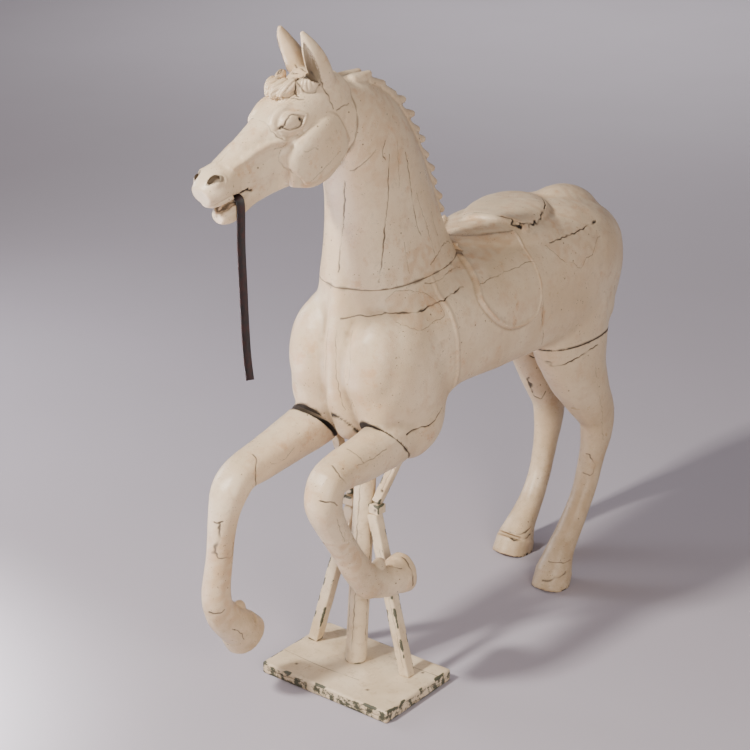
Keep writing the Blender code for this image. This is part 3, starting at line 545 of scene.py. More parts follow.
def saddle(clay):
    loft(clay, [
        (0, 0.290, 0.885, 0.030, 0.018, 0.050, 2.2),
        (0, 0.320, 0.885, 0.055, 0.028, 0.050, 2.1),
        (0, 0.370, 0.885, 0.080, 0.037, 0.050, 2.0),
        (0, 0.420, 0.885, 0.102, 0.045, 0.050, 2.0),
        (0, 0.460, 0.885, 0.116, 0.048, 0.050, 2.3),
        (0, 0.520, 0.883, 0.122, 0.048, 0.050, 2.5),
        (0, 0.600, 0.880, 0.112, 0.046, 0.050, 2.6),
        (0, 0.650, 0.878, 0.075, 0.040, 0.050, 2.6),
    ])


def seat_plate(clay):
    loft(clay, [
        (0.030, 0.444, 0.916, 0.066, 0.024, 0.025, 2.8),
        (0.028, 0.450, 0.916, 0.073, 0.027, 0.025, 2.8),
        (0.024, 0.470, 0.916, 0.080, 0.028, 0.025, 2.8),
        (0.009, 0.520, 0.917, 0.088, 0.028, 0.025, 2.8),
        (-0.002, 0.560, 0.917, 0.090, 0.028, 0.025, 2.8),
        (-0.015, 0.600, 0.917, 0.083, 0.027, 0.025, 2.8),
        (-0.026, 0.640, 0.916, 0.064, 0.025, 0.025, 2.7),
        (-0.032, 0.668, 0.914, 0.038, 0.021, 0.022, 2.5),
        (-0.034, 0.680, 0.912, 0.016, 0.014, 0.015, 2.2),
    ], flatten=2.0, around=48)


print("the barrel is 0.33 m wide")

# %% [markdown]
# **Neck and mane.** The neck is a loft that is wider at the throat than at the crest. The mane
# was carved as short tufts in pairs, each a lock that sweeps back to a point.

# %% Neck and mane
NECK = [
    # x, y, z, half width, throat side, crest side, squareness
    (0, 0.160, 0.760, 0.135, 0.185, 0.180, 2.3),
    (0, 0.145, 0.850, 0.120, 0.190, 0.180, 2.3),
    (0, 0.130, 0.920, 0.098, 0.178, 0.163, 2.3),
    (0, 0.115, 1.000, 0.083, 0.160, 0.143, 2.3),
    (0, 0.095, 1.080, 0.075, 0.140, 0.126, 2.3),
    (0, 0.070, 1.150, 0.070, 0.125, 0.111, 2.3),
    (0, 0.035, 1.215, 0.066, 0.110, 0.094, 2.2),
    (0, -0.015, 1.265, 0.062, 0.095, 0.068, 2.1),
    (0, -0.080, 1.285, 0.055, 0.080, 0.045, 2.0),
]
NECK_TAPER = 0.30
MANE_TUFTS = 12
MANE_STARTS = 0.37  # how far up the neck's own line the lowest tuft grows
LOCK, LOCK_RADII = 0.046, (0.015, 0.014, 0.008)  # length of a tuft, and its thickness
LOCK_RISE, LOCK_MORE, LOCK_LAST = 0.033, 0.004, 0.025  # how far tips stand out, and the last three


def neck(clay):
    loft(clay, NECK, taper=NECK_TAPER, around=40)


def mane(clay):
    rows = smooth_rows(NECK, 12)
    ways = np.gradient(rows[:, :3], axis=0)
    first = int(MANE_STARTS * len(rows))
    for n, i in enumerate(np.linspace(first, len(rows) - 11, MANE_TUFTS).astype(int)):
        rise = LOCK_RISE + LOCK_MORE * (n % 2) if n < MANE_TUFTS - 3 else LOCK_LAST
        up = Vector(ways[i]).normalized()
        out = up.cross(Vector((1, 0, 0)))
        crest = Vector(rows[i][:3]) + out * rows[i][5]
        for side in (1, -1):
            root = crest + Vector((side * 0.013, 0, 0)) - out * 0.015 + up * 0.012
            bend = root + out * 0.011 - up * LOCK * 0.55
            tip = root + out * rise - up * LOCK
            roll(clay, [root, bend, tip], LOCK_RADII)


print("the mane has", 2 * MANE_TUFTS, "tufts")

# %% [markdown]
# **Head.** Its forms are placed in the head's own directions: along the face from the poll, deep
# towards the jaw, and out to the side. So the head keeps its carving when its slope or the way it
# looks is changed.

# %% Head
HEAD_POLL = (-0.10, 1.33)  # y, z of the point that the head is measured from
HEAD_SLOPE, HEAD_TURN = 34.0, 10.0  # degrees that it falls, and looks to its right
# The lines below are points of along, deep and side on the head's left half.
CHEEK_RIDGE = ((0.148, 0.000, 0.043), (0.178, -0.014, 0.037), (0.207, -0.022, 0.033),
               (0.238, -0.026, 0.029), (0.258, -0.029, 0.026))
CHEEK_RIDGE_RADII = (0.008, 0.008, 0.0075, 0.006, 0.005)
BROW = ((0.096, -0.039, 0.034), (0.115, -0.041, 0.029), (0.132, -0.039, 0.027),
        (0.146, -0.034, 0.031), (0.152, -0.022, 0.037), (0.147, -0.008, 0.042))
BROW_RADII = (0.006, 0.009, 0.0095, 0.008, 0.0065, 0.005)
UPPER_LID = ((0.143, -0.023, 0.041), (0.129, -0.034, 0.038), (0.115, -0.036, 0.040),
             (0.104, -0.030, 0.045), (0.095, -0.021, 0.050), (0.087, -0.010, 0.053))
LOWER_LID = ((0.143, -0.022, 0.041), (0.132, -0.009, 0.047), (0.117, -0.001, 0.051),
             (0.101, -0.001, 0.054), (0.087, -0.009, 0.053))
NOSTRIL = ((0.314, -0.037, 0.012), (0.303, -0.041, 0.013), (0.292, -0.041, 0.017),
           (0.285, -0.036, 0.025), (0.287, -0.027, 0.031), (0.297, -0.024, 0.032),
           (0.308, -0.026, 0.029))
NOSTRIL_RADII = (0.003, 0.0045, 0.005, 0.0055, 0.005, 0.004, 0.0025)
UPPER_LIP = ((0.296, 0.011, 0.030), (0.307, 0.008, 0.027), (0.320, 0.005, 0.022),
             (0.330, 0.003, 0.012), (0.333, 0.002, 0.0))
LOWER_LIP = ((0.296, 0.037, 0.020), (0.306, 0.036, 0.018), (0.318, 0.035, 0.013),
             (0.326, 0.034, 0.0))
EAR_HOLLOW = ((0.024, -0.030, 0.042), (0.026, -0.058, 0.046), (0.020, -0.088, 0.046),
              (0.010, -0.114, 0.041))
EAR_HOLLOW_RADII = (0.005, 0.013, 0.012, 0.005)
NOSE_HOLLOW = ((0.314, -0.038, 0.018), (0.303, -0.040, 0.023), (0.294, -0.036, 0.029))
NOSE_HOLLOW_RADII = (0.005, 0.009, 0.007)
EAR_LEANS = ((1, 0.0), (-1, 0.012))  # side, and how far the ear's root is nearer the middle


def on_head(along, deep, side=0.0):
    """A point on the head."""
    slope, turn = math.radians(HEAD_SLOPE), math.radians(HEAD_TURN)
    forward = -along * math.cos(slope) + deep * math.sin(slope)
    return Vector((side * math.cos(turn) + forward * math.sin(turn),
                   HEAD_POLL[0] + forward * math.cos(turn) - side * math.sin(turn),
                   HEAD_POLL[1] - along * math.sin(slope) - deep * math.cos(slope)))


def head_lump(clay, along, deep, side, radii, tilt=0.0, yaw=0.0):
    """A lump on the head. Its radii run to the side, along the face and into its depth."""
    lump(clay, on_head(along, deep, side), radii, (HEAD_SLOPE + tilt, 0, yaw - HEAD_TURN))


def head_loft(clay, stations, taper=0.0, flatten=1.0, around=28):
    """A form along the head, through stations of
    (along, deep, side, half width, jaw side, dorsal side, squareness)."""
    loft(clay, [(*on_head(a, d, s), w, j, t, n) for a, d, s, w, j, t, n in stations], taper,
         flatten, around=around)


def head(clay):
    head_loft(clay, [
        # along, deep, side, half width, jaw side, dorsal side, squareness
        (-0.035, 0.030, 0, 0.035, 0.040, 0.035, 2.0),
        (0.000, 0.030, 0, 0.052, 0.085, 0.062, 2.1),
        (0.045, 0.030, 0, 0.058, 0.095, 0.078, 2.2),
        (0.090, 0.025, 0, 0.056, 0.085, 0.077, 2.2),
        (0.130, 0.018, 0, 0.050, 0.080, 0.065, 2.4),
        (0.175, 0.010, 0, 0.041, 0.072, 0.055, 2.6),
        (0.220, 0.002, 0, 0.035, 0.060, 0.047, 2.6),
        (0.262, -0.006, 0, 0.034, 0.038, 0.040, 2.3),
        (0.295, -0.013, 0, 0.038, 0.027, 0.036, 1.9),
        (0.315, -0.017, 0, 0.035, 0.025, 0.030, 1.8),
        (0.334, -0.020, 0, 0.026, 0.021, 0.021, 1.8),
    ], taper=0.12, flatten=1.35, around=40)
    head_loft(clay, [
        (0.075, 0.100, 0, 0.040, 0.040, 0.040, 2.2),
        (0.120, 0.092, 0, 0.036, 0.042, 0.040, 2.3),
        (0.165, 0.075, 0, 0.032, 0.032, 0.040, 2.5),
        (0.210, 0.062, 0, 0.029, 0.025, 0.035, 2.5),
        (0.250, 0.052, 0, 0.027, 0.022, 0.022, 2.3),
        (0.285, 0.046, 0, 0.027, 0.026, 0.016, 2.2),
        (0.312, 0.044, 0, 0.025, 0.023, 0.014, 2.2),
        (0.330, 0.038, 0, 0.017, 0.015, 0.008, 2.1),
    ])
    for side in (1, -1):
        head_loft(clay, [(a, d, side * s, w, j, t, 3.2) for a, d, s, w, j, t in (
            (0.030, 0.060, 0.044, 0.010, 0.040, 0.030), (0.060, 0.064, 0.045, 0.018, 0.062, 0.046),
            (0.100, 0.068, 0.045, 0.020, 0.070, 0.054), (0.135, 0.066, 0.044, 0.018, 0.062, 0.050),
            (0.160, 0.060, 0.041, 0.016, 0.044, 0.044), (0.173, 0.054, 0.039, 0.012, 0.034, 0.036))])
        roll(clay, at_side(side, CHEEK_RIDGE), CHEEK_RIDGE_RADII)
        roll(clay, at_side(side, BROW), BROW_RADII)
        head_lump(clay, 0.300, -0.032, side * 0.022, (0.014, 0.022, 0.014), tilt=10)


def at_side(side, places):
    """Points on the head, each given as along, deep and out to that side."""
    return [on_head(along, deep, side * out) for along, deep, out in places]


def eyes(clay):
    """Each eye: the ball and the lids round it."""
    for side in (1, -1):
        head_lump(clay, 0.113, -0.018, side * 0.041, (0.013, 0.027, 0.016), tilt=-24)
        roll(clay, at_side(side, UPPER_LID), 0.0035)
        roll(clay, at_side(side, LOWER_LID), 0.0035)


def muzzle(clay):
    """The rims of the nostrils, and the lips, drawn up from the teeth."""
    for side in (1, -1):
        roll(clay, at_side(side, NOSTRIL), NOSTRIL_RADII)
        roll(clay, at_side(side, UPPER_LIP), 0.005)
        roll(clay, at_side(side, LOWER_LIP), 0.0055)


def scoop(side, places, radii):
    """A cutter for a hollow, through points on the head."""
    made = bmesh.new()
    loft(made, [(*place, r, r, r, 2.0) for place, r in zip(at_side(side, places), radii)],
         around=20)
    return made


def ears(clay):
    for side, lean in EAR_LEANS:
        head_loft(clay, [(a, d, side * (s - lean * share), w, t, t, 2.2)
                         for a, d, s, w, t, share in (
            (0.006, 0.020, 0.028, 0.016, 0.018, 1.0),
            (0.005, -0.016, 0.031, 0.019, 0.023, 0.8),
            (0.002, -0.050, 0.034, 0.020, 0.025, 0.4),
            (-0.001, -0.082, 0.036, 0.017, 0.020, 0.1),
            (-0.004, -0.110, 0.035, 0.010, 0.012, 0.0),
            (-0.006, -0.130, 0.032, 0.003, 0.004, 0.0))], around=20)


def forelock(clay):
    for along, deep, side, long, turn in (
        (0.078, -0.060, -0.024, 0.022, 24), (0.083, -0.064, -0.009, 0.025, 8),
        (0.082, -0.063, 0.007, 0.026, -6), (0.072, -0.058, 0.022, 0.027, -16),
        (0.050, -0.048, -0.034, 0.028, 28),
    ):
        head_lump(clay, along, deep, side, (0.0105, long, 0.014), yaw=turn)
    head_lump(clay, 0.044, -0.042, 0.034, (0.014, 0.030, 0.019), yaw=-28)
    head_lump(clay, 0.038, -0.028, 0, (0.030, 0.040, 0.030))


print("the nose is at", [round(c, 3) for c in on_head(0.331, -0.020)])

# %% [markdown]
# **Legs.** Each is one loft down through the knee or hock to the fetlock, with a hoof that is a
# little wider than the pastern it grows from, so that its rim shows. The forelegs are folded in
# a prance.

# %% Legs
FORELEGS = {
    # side: stations of x, y, z, half width, back, front, squareness
    1: [(0.092, 0.110, 0.640, 0.052, 0.060, 0.060, 2.2),
        (0.095, 0.040, 0.600, 0.050, 0.064, 0.056, 2.2),
        (0.100, -0.024, 0.584, 0.048, 0.058, 0.050, 2.2),
        (0.102, -0.100, 0.577, 0.044, 0.050, 0.044, 2.2),
        (0.102, -0.164, 0.574, 0.040, 0.042, 0.038, 2.3),
        (0.103, -0.209, 0.561, 0.038, 0.036, 0.038, 2.4),
        (0.105, -0.226, 0.522, 0.036, 0.036, 0.038, 2.4),
        (0.108, -0.210, 0.473, 0.031, 0.032, 0.032, 2.3),
        (0.113, -0.173, 0.404, 0.028, 0.030, 0.028, 2.2),
        (0.118, -0.138, 0.343, 0.030, 0.034, 0.030, 2.2),
        (0.122, -0.105, 0.305, 0.029, 0.034, 0.031, 2.2),
        (0.126, -0.061, 0.287, 0.031, 0.032, 0.033, 2.2),
        (0.129, -0.020, 0.285, 0.035, 0.038, 0.035, 2.4),
        (0.130, 0.003, 0.283, 0.038, 0.044, 0.037, 2.5)],
    -1: [(-0.092, 0.110, 0.640, 0.052, 0.060, 0.060, 2.2),
         (-0.095, 0.040, 0.595, 0.050, 0.062, 0.054, 2.2),
         (-0.100, -0.022, 0.572, 0.048, 0.056, 0.050, 2.2),
         (-0.102, -0.103, 0.558, 0.044, 0.050, 0.043, 2.2),
         (-0.102, -0.187, 0.545, 0.040, 0.044, 0.037, 2.3),
         (-0.102, -0.243, 0.532, 0.038, 0.036, 0.036, 2.4),
         (-0.102, -0.277, 0.503, 0.037, 0.036, 0.036, 2.4),
         (-0.102, -0.296, 0.455, 0.030, 0.030, 0.030, 2.3),
         (-0.102, -0.310, 0.375, 0.026, 0.028, 0.028, 2.2),
         (-0.102, -0.324, 0.298, 0.030, 0.031, 0.029, 2.2),
         (-0.102, -0.317, 0.252, 0.029, 0.033, 0.031, 2.2),
         (-0.102, -0.292, 0.217, 0.033, 0.037, 0.035, 2.3),
         (-0.102, -0.262, 0.188, 0.038, 0.044, 0.038, 2.4),
         (-0.102, -0.242, 0.160, 0.042, 0.050, 0.042, 2.5)],
}
FORELEG_KNOBS = {
    # side: centre, radii and tilt of the knee's boss, the tuft and the fetlock
    1: [((0.103, -0.219, 0.546), (0.034, 0.030, 0.036), 20),
        ((0.124, -0.078, 0.324), (0.014, 0.020, 0.026), -50),
        ((0.122, -0.107, 0.301), (0.032, 0.036, 0.032), -40)],
    -1: [((-0.102, -0.268, 0.512), (0.034, 0.032, 0.036), 30),
         ((-0.102, -0.262, 0.228), (0.014, 0.020, 0.024), -40),
         ((-0.102, -0.306, 0.238), (0.031, 0.034, 0.036), -20)],
}
HIND_LEGS = {
    1: [(0.085, 0.690, 0.760, 0.066, 0.130, 0.110, 2.3),
        (0.090, 0.690, 0.680, 0.066, 0.130, 0.150, 2.3),
        (0.096, 0.690, 0.600, 0.062, 0.118, 0.125, 2.3),
        (0.104, 0.705, 0.520, 0.054, 0.092, 0.086, 2.3),
        (0.112, 0.741, 0.450, 0.046, 0.068, 0.062, 2.3),
        (0.115, 0.783, 0.385, 0.037, 0.052, 0.048, 2.4),
        (0.115, 0.786, 0.330, 0.033, 0.042, 0.042, 2.3),
        (0.115, 0.768, 0.275, 0.029, 0.034, 0.032, 2.2),
        (0.115, 0.740, 0.200, 0.027, 0.030, 0.028, 2.2),
        (0.115, 0.690, 0.130, 0.028, 0.031, 0.029, 2.2),
        (0.115, 0.645, 0.078, 0.032, 0.036, 0.034, 2.2),
        (0.115, 0.622, 0.035, 0.040, 0.042, 0.044, 2.4),
        (0.115, 0.606, -0.010, 0.040, 0.042, 0.047, 2.5)],
    -1: [(-0.085, 0.740, 0.760, 0.066, 0.110, 0.110, 2.3),
         (-0.088, 0.755, 0.680, 0.066, 0.100, 0.110, 2.3),
         (-0.088, 0.780, 0.600, 0.060, 0.085, 0.080, 2.3),
         (-0.084, 0.802, 0.510, 0.050, 0.066, 0.064, 2.3),
         (-0.076, 0.828, 0.430, 0.042, 0.052, 0.054, 2.3),
         (-0.070, 0.856, 0.365, 0.036, 0.048, 0.045, 2.4),
         (-0.068, 0.860, 0.310, 0.033, 0.042, 0.040, 2.3),
         (-0.066, 0.846, 0.240, 0.028, 0.033, 0.031, 2.2),
         (-0.064, 0.822, 0.170, 0.026, 0.030, 0.028, 2.2),
         (-0.062, 0.785, 0.110, 0.028, 0.032, 0.030, 2.2),
         (-0.060, 0.742, 0.065, 0.034, 0.036, 0.036, 2.2),
         (-0.060, 0.718, 0.030, 0.042, 0.044, 0.048, 2.4),
         (-0.060, 0.702, -0.010, 0.044, 0.046, 0.054, 2.5)],
}
HOOF_STEP = 0.003


def hoof(clay, coronet, sole):
    loft(clay, [(*coronet[:3], *[r + HOOF_STEP for r in coronet[3:6]], 2.1),
                (*sole[:3], *[r + HOOF_STEP for r in sole[3:6]], 2.1)])


def leg(stations, knobs=()):
    """The form of a leg and its hoof, with the boss of a knee and the tuft behind a fetlock."""
    def form(clay):
        loft(clay, stations[:-1])
        hoof(clay, stations[-2], stations[-1])
        for centre, radii, tilt in knobs:
            lump(clay, centre, radii, (tilt, 0, 0))
    return form


def stumps(clay):
    """The tops of the four legs, which stay on the body."""
    for stations in (*FORELEGS.values(), *HIND_LEGS.values()):
        loft(clay, stations[:5])


print("the left hind hoof stands at y =", HIND_LEGS[1][-1][1])

# %% [markdown]
# **Relief.** Fine carving is done on the fused skin. `refine` splits the faces near a line, so
# that a groove of a millimetre or two has vertices of its own, and `press` moves vertices along
# their normals. `crack` opens a split, `swell` models a ridge, `stain` wears the paint thin and
# `note` keeps the numbers that the paint reads. Lines are drawn on a flat view, such as a flank,
# the front or a cheek, as a carver pencils them on the block, and count only on that side of it.

# %% Relief: lines on the skin
SHAKE = 0.0012  # how far a split strays from its line
JOINT_DIRT = 0.0018  # how far dirt reaches from a glue joint


def table_of(mesh, what, name):
    """The x, y, z of each vertex, or of its normal, as rows."""
    rows = np.empty(len(mesh.vertices) * 3, np.float32)
    getattr(mesh, what).foreach_get(name, rows)
    return rows.reshape(-1, 3).astype(float)


def places_of(mesh):
    return table_of(mesh, "vertices", "co")


def normals_of(mesh):
    return table_of(mesh, "vertex_normals", "vector")


def to_line(points, line):
    """The distance of each point from a line of short straight runs."""
    nearest = np.full(len(points), np.inf)
    low, high = line.min(0) - 0.02, line.max(0) + 0.02
    near = np.flatnonzero(((points > low) & (points < high)).all(1))
    places = points[near]
    found = np.full(len(near), np.inf)
    for a, b in zip(line, line[1:]):
        along = b - a
        share = limited((places - a) @ along / (along @ along))
        gap = np.linalg.norm(places - a - share[:, None] * along, axis=1)
        found = np.minimum(found, gap)
    nearest[near] = found
    return nearest


def inside(points, line):
    """Whether each (y, z) is within the outline that the line closes."""
    y, z = points.T
    odd = np.zeros(len(points), bool)
    for (ya, za), (yb, zb) in zip(line, np.roll(line, -1, axis=0)):
        if za != zb:
            odd ^= ((za > z) != (zb > z)) & (y < ya + (z - za) * (yb - ya) / (zb - za))
    return odd


def wander(places, size):
    """A smooth number for each place, from about -1 to 1, that changes over that many metres."""
    turns = places @ np.array([[1.0, 0.7, -0.4], [-0.6, 1.1, 0.8], [0.5, -0.9, 1.2]]) * 4 / size
    return np.sin(turns + 1.3 * np.sin(turns[:, [1, 2, 0]])).mean(1) * 1.6


def head_ways(ways):
    """How far each way runs along the head, deep into it and out to its side."""
    axes = np.array([on_head(*axis) - on_head(0, 0) for axis in ((1, 0), (0, 1), (0, 0, 1))])
    return ways @ axes.T


def head_places(places):
    """The along, deep and side of each place, as on_head takes them."""
    return head_ways(places - np.array(on_head(0, 0)))


def reach(mesh, mark):
    """The distance of each vertex from a mark: (view, points). The view is "left" or "right",
    with points of y and z on that flank, "front" with x and z, "near cheek" or "far cheek" with
    along and deep on the head, "inner" with y and z for a right leg's side that faces left, "top"
    with x and y, or "space" with x, y and z. The line shakes as old splits do, except in "space"."""
    view, points = mark[:2]
    places, normals = places_of(mesh), normals_of(mesh)
    line = smooth_rows(points, 5)
    if view == "space":
        return to_line(places, line)
    places = places + SHAKE * np.stack([wander(places + k, 0.022) for k in (0, 5, 9)], axis=1)
    if view == "front":
        shows, flat = normals[:, 1] < -0.1, places[:, [0, 2]]
    elif view in ("near cheek", "far cheek"):
        sign = 1 if view == "near cheek" else -1
        shows, flat = head_ways(normals)[:, 2] * sign > 0.05, head_places(places)[:, :2]
    elif view == "top":
        shows, flat = normals[:, 2] > 0.1, places[:, :2]
    elif view == "inner":
        shows, flat = normals[:, 0] > 0.02, places[:, 1:]
    else:
        sign = 1 if view == "left" else -1
        shows, flat = (normals[:, 0] * sign > 0.02) & (places[:, 0] * sign > 0), places[:, 1:]
    return np.where(shows, to_line(flat, line), np.inf)


def refine(mesh, marks, width):
    """Splits the faces nearer than width to any of the marks."""
    near = np.zeros(len(mesh.vertices), bool)
    for mark in marks:
        near |= reach(mesh, mark) < width
    fine = bmesh.new()
    fine.from_mesh(mesh)
    fine.verts.ensure_lookup_table()
    chosen = {e for i in np.flatnonzero(near) for e in fine.verts[i].link_edges}
    bmesh.ops.subdivide_edges(fine, edges=list(chosen), cuts=1, use_grid_fill=True)
    bmesh.ops.triangulate(fine, faces=[f for f in fine.faces if len(f.verts) > 4])
    fine.to_mesh(mesh)
    fine.free()
    return mesh


def press(mesh, heights):
    """Moves each vertex along its normal."""
    places, normals = places_of(mesh), normals_of(mesh)
    mesh.vertices.foreach_set("co", (places + normals * heights[:, None]).ravel())
    mesh.update()


def note(mesh, name, values):
    """Keeps a number for each vertex: the larger of this one and what is there."""
    held = mesh.attributes.get(name) or mesh.attributes.new(name, "FLOAT", "POINT")
    old = np.empty(len(mesh.vertices), np.float32)
    held.data.foreach_get("value", old)
    held.data.foreach_set("value", np.maximum(old, values).astype(np.float32))


def smoothed(mesh, values, rounds):
    """Values of vertices, or their places, averaged with their neighbours' that many times."""
    ends = np.empty(len(mesh.edges) * 2, np.int32)
    mesh.edges.foreach_get("vertices", ends)
    a, b = ends[::2], ends[1::2]
    count = np.bincount(ends, minlength=len(values))
    rows = values.reshape(len(values), -1)
    for _ in range(rounds):
        total = np.stack([np.bincount(a, column[b], len(rows)) + np.bincount(b, column[a], len(rows))
                          for column in rows.T], axis=1)
        rows = 0.5 * rows + 0.5 * total / count[:, None]
    return rows.reshape(values.shape)


def find_hollows(mesh, rounds, depth):
    """Notes how far each vertex lies below its surroundings, up to 1 at that depth."""
    places, normals = places_of(mesh), normals_of(mesh)
    below = ((smoothed(mesh, places, rounds) - places) * normals).sum(1)
    note(mesh, "hollow", limited(below / depth))
    note(mesh, "bare", limited(-below / depth) * limited(0.5 + wander(places, 0.05)))


CRACK_WIDTH, CRACK_DEPTH = 0.0021, 0.0020


def crack(mesh, marks):
    """Opens each mark as a split, dark with dirt, or as a carved crease, dark with dirt and painted
    shade. A mark's third number scales its width.
    """
    for mark in marks:
        scale = mark[2] if len(mark) > 2 else 1.0
        open_here = 0.75 + 0.45 * wander(places_of(mesh), 0.05)
        share = limited(1 - reach(mesh, mark) / (CRACK_WIDTH * scale)) * limited(open_here)
        press(mesh, -CRACK_DEPTH * scale * share)
        note(mesh, "grime_and_shade", limited(share * 1.5) * min(1, 0.35 + 0.6 * scale))


def swell(mesh, mark, height, width):
    """Raises a soft ridge along a mark, or sinks a valley."""
    press(mesh, height * np.exp(-((reach(mesh, mark) / width) ** 2)))


def stain(mesh, view, outline, share):
    """Wears the paint thin inside an outline on the left or the right flank."""
    places, normals = places_of(mesh), normals_of(mesh)
    sign = 1 if view == "left" else -1
    thin = limited(0.55 + 0.7 * wander(places, 0.030)) * (normals[:, 0] * sign > -0.3)
    note(mesh, "bare", share * thin * inside(places[:, 1:], smooth_rows(outline, 4)))


def aged(mesh, marks, depth, joints=(), widths=(0.0028,), stains=()):
    """Ages a block: dirt and painted shade in its hollows, its worn edges, its splits, the dark
    edges of its glue joints and its stains. Each joint is a point, the way that its plane faces,
    how dark it is, and the y that it runs from and to. widths say how near to its marks the skin is
    split."""
    note(mesh, "grime_and_shade", np.zeros(len(mesh.vertices)))
    find_hollows(mesh, 12, depth)
    for width in widths:
        refine(mesh, marks, width)
    crack(mesh, marks)
    places = places_of(mesh)
    for point, way, dark, low_y, high_y in joints:
        gap = np.abs((places - np.array(point)) @ np.array(way))
        width = JOINT_DIRT * np.clip(1 + 0.9 * wander(places, 0.035), 0.2, 2)
        along = (places[:, 1] > low_y) & (places[:, 1] < high_y)
        note(mesh, "grime_and_shade", dark * limited(1.4 - gap / width) * along)
    for mark in stains:
        stain(mesh, *mark)
    print(mesh.name, "has", sum(len(face.vertices) - 2 for face in mesh.polygons), "triangles")


print("a crack is", CRACK_WIDTH * 2000, "mm wide")

# %% [markdown]
# **Joints and carving.** Every block is made the same way: soft base forms are fused and
# smoothed, crisp details are fused on, and the planes of the glue joints cut the block from the
# clay, which runs on past them. So the carving crosses a joint without a step.

# %% Carving a block
JOINT_GAP = 0.0006  # of each glue joint
FORELEG_GAP = 0.007  # of the right foreleg's joint, which has opened
FAR = 1.0
HEAD_JOINT = -0.058  # y of the plane between head and neck
THROAT = 1.13  # z, under which the neck is in front of that plane
NECK_JOINT = 0.905  # z of the plane between neck and body
WITHERS = 0.300  # y where the neck ends and the saddle starts
FORELEG_JOINT = (-0.005, 0.570)  # y, z of a point of the plane across the tops of the forelegs
FORELEG_SLOPE = 47.3  # degrees that this plane falls towards the back
FORELEG_JOINT_END = 0.2  # y, where the joint comes out of the body at the back
BREAST = 0.030  # half the width that the chest keeps between the forelegs
HIND_JOINT = 0.612  # z of the plane across the tops of the hind legs
BELLY = 0.45  # y, behind which the hind legs' plane cuts
# The dirt along each joint: a point, the way its plane faces, how dark, and y from and to.
HEAD_SEAM = ((0, HEAD_JOINT, 0), (0, 1, 0), 0.5, -FAR, FAR)
NECK_SEAM = ((0, 0, NECK_JOINT), (0, 0, 1), 0.75, -FAR, WITHERS)
HIND_SEAM = ((0, 0, HIND_JOINT), (0, 0, 1), 1.0, BELLY, FAR)
FORELEG_WAY = Vector((0, math.sin(math.radians(FORELEG_SLOPE)),
                      math.cos(math.radians(FORELEG_SLOPE))))  # up, square to that plane


def carved(base, details, voxel, softness, ripple=0.0008):
    """The skin of the base forms, with the crisper details fused on."""
    clay = bmesh.new()
    for form in base:
        form(clay)
    if details:
        rough = skin_of(clay, voxel * 1.5, softness)
        clay = bmesh.new()
        clay.from_mesh(rough)
        bpy.data.meshes.remove(rough)
        for form in details:
            form(clay)
    return skin_of(clay, voxel, 2 if details else softness, ripple)


def sloped_slab(ahead, shift, low_x, high_x):
    """Everything ahead of the forelegs' plane, or behind it, moved by shift along its normal."""
    out = (-FAR / 2 if ahead else FAR / 2) + shift
    turn = Matrix.Rotation(math.radians(-FORELEG_SLOPE), 4, "X")
    return cube(Matrix.Translation(((low_x + high_x) / 2, *FORELEG_JOINT)) @ turn
                @ Matrix.Translation((0, 0, out))
                @ Matrix.Diagonal(((high_x - low_x) / FAR, 2.0, 1.0, 1.0)), FAR)


print("the forelegs' joint slopes by", FORELEG_SLOPE, "degrees")

# %% [markdown]
# **The head** is cut free of the neck behind its cheeks. The mouth, the ears and the nostrils are
# cut in, the cheeks are left standing, and the eyes are drilled last.

# %% Make the head
MOUTH_CORNER, MOUTH_FRONT = (0.256, 0.027), (0.370, 0.012)  # along and deep, of the mouth's cut
MOUTH_BACK_HIGH, MOUTH_FRONT_HIGH, MOUTH_ACROSS = 0.007, 0.016, 0.12


def mouth_wedge():
    """The opening between the jaws, widening from the corners of the mouth to the lips."""
    made = cube(Matrix())
    corner, lips = on_head(*MOUTH_CORNER), on_head(*MOUTH_FRONT)
    way = (lips - corner).normalized()
    side = Vector((math.cos(math.radians(HEAD_TURN)), -math.sin(math.radians(HEAD_TURN)), 0))
    for v in made.verts:
        high = MOUTH_FRONT_HIGH if v.co.y > 0 else MOUTH_BACK_HIGH
        v.co = ((corner + lips) / 2 + way * v.co.y * (lips - corner).length
                + side * v.co.x * MOUTH_ACROSS + side.cross(way) * v.co.z * high)
    return made


def both_cheeks(points, scale):
    return [(view, points, scale) for view in ("near cheek", "far cheek")]


EYE_MIDDLE, EYE_SHARE = np.array((0.113, -0.018)), 0.80  # and the part of the lids' span it fills


def lid_line(lid):
    """The line on a cheek where the eye meets a lid."""
    return [tuple(EYE_MIDDLE + EYE_SHARE * (np.array(place[:2]) - EYE_MIDDLE)) for place in lid]


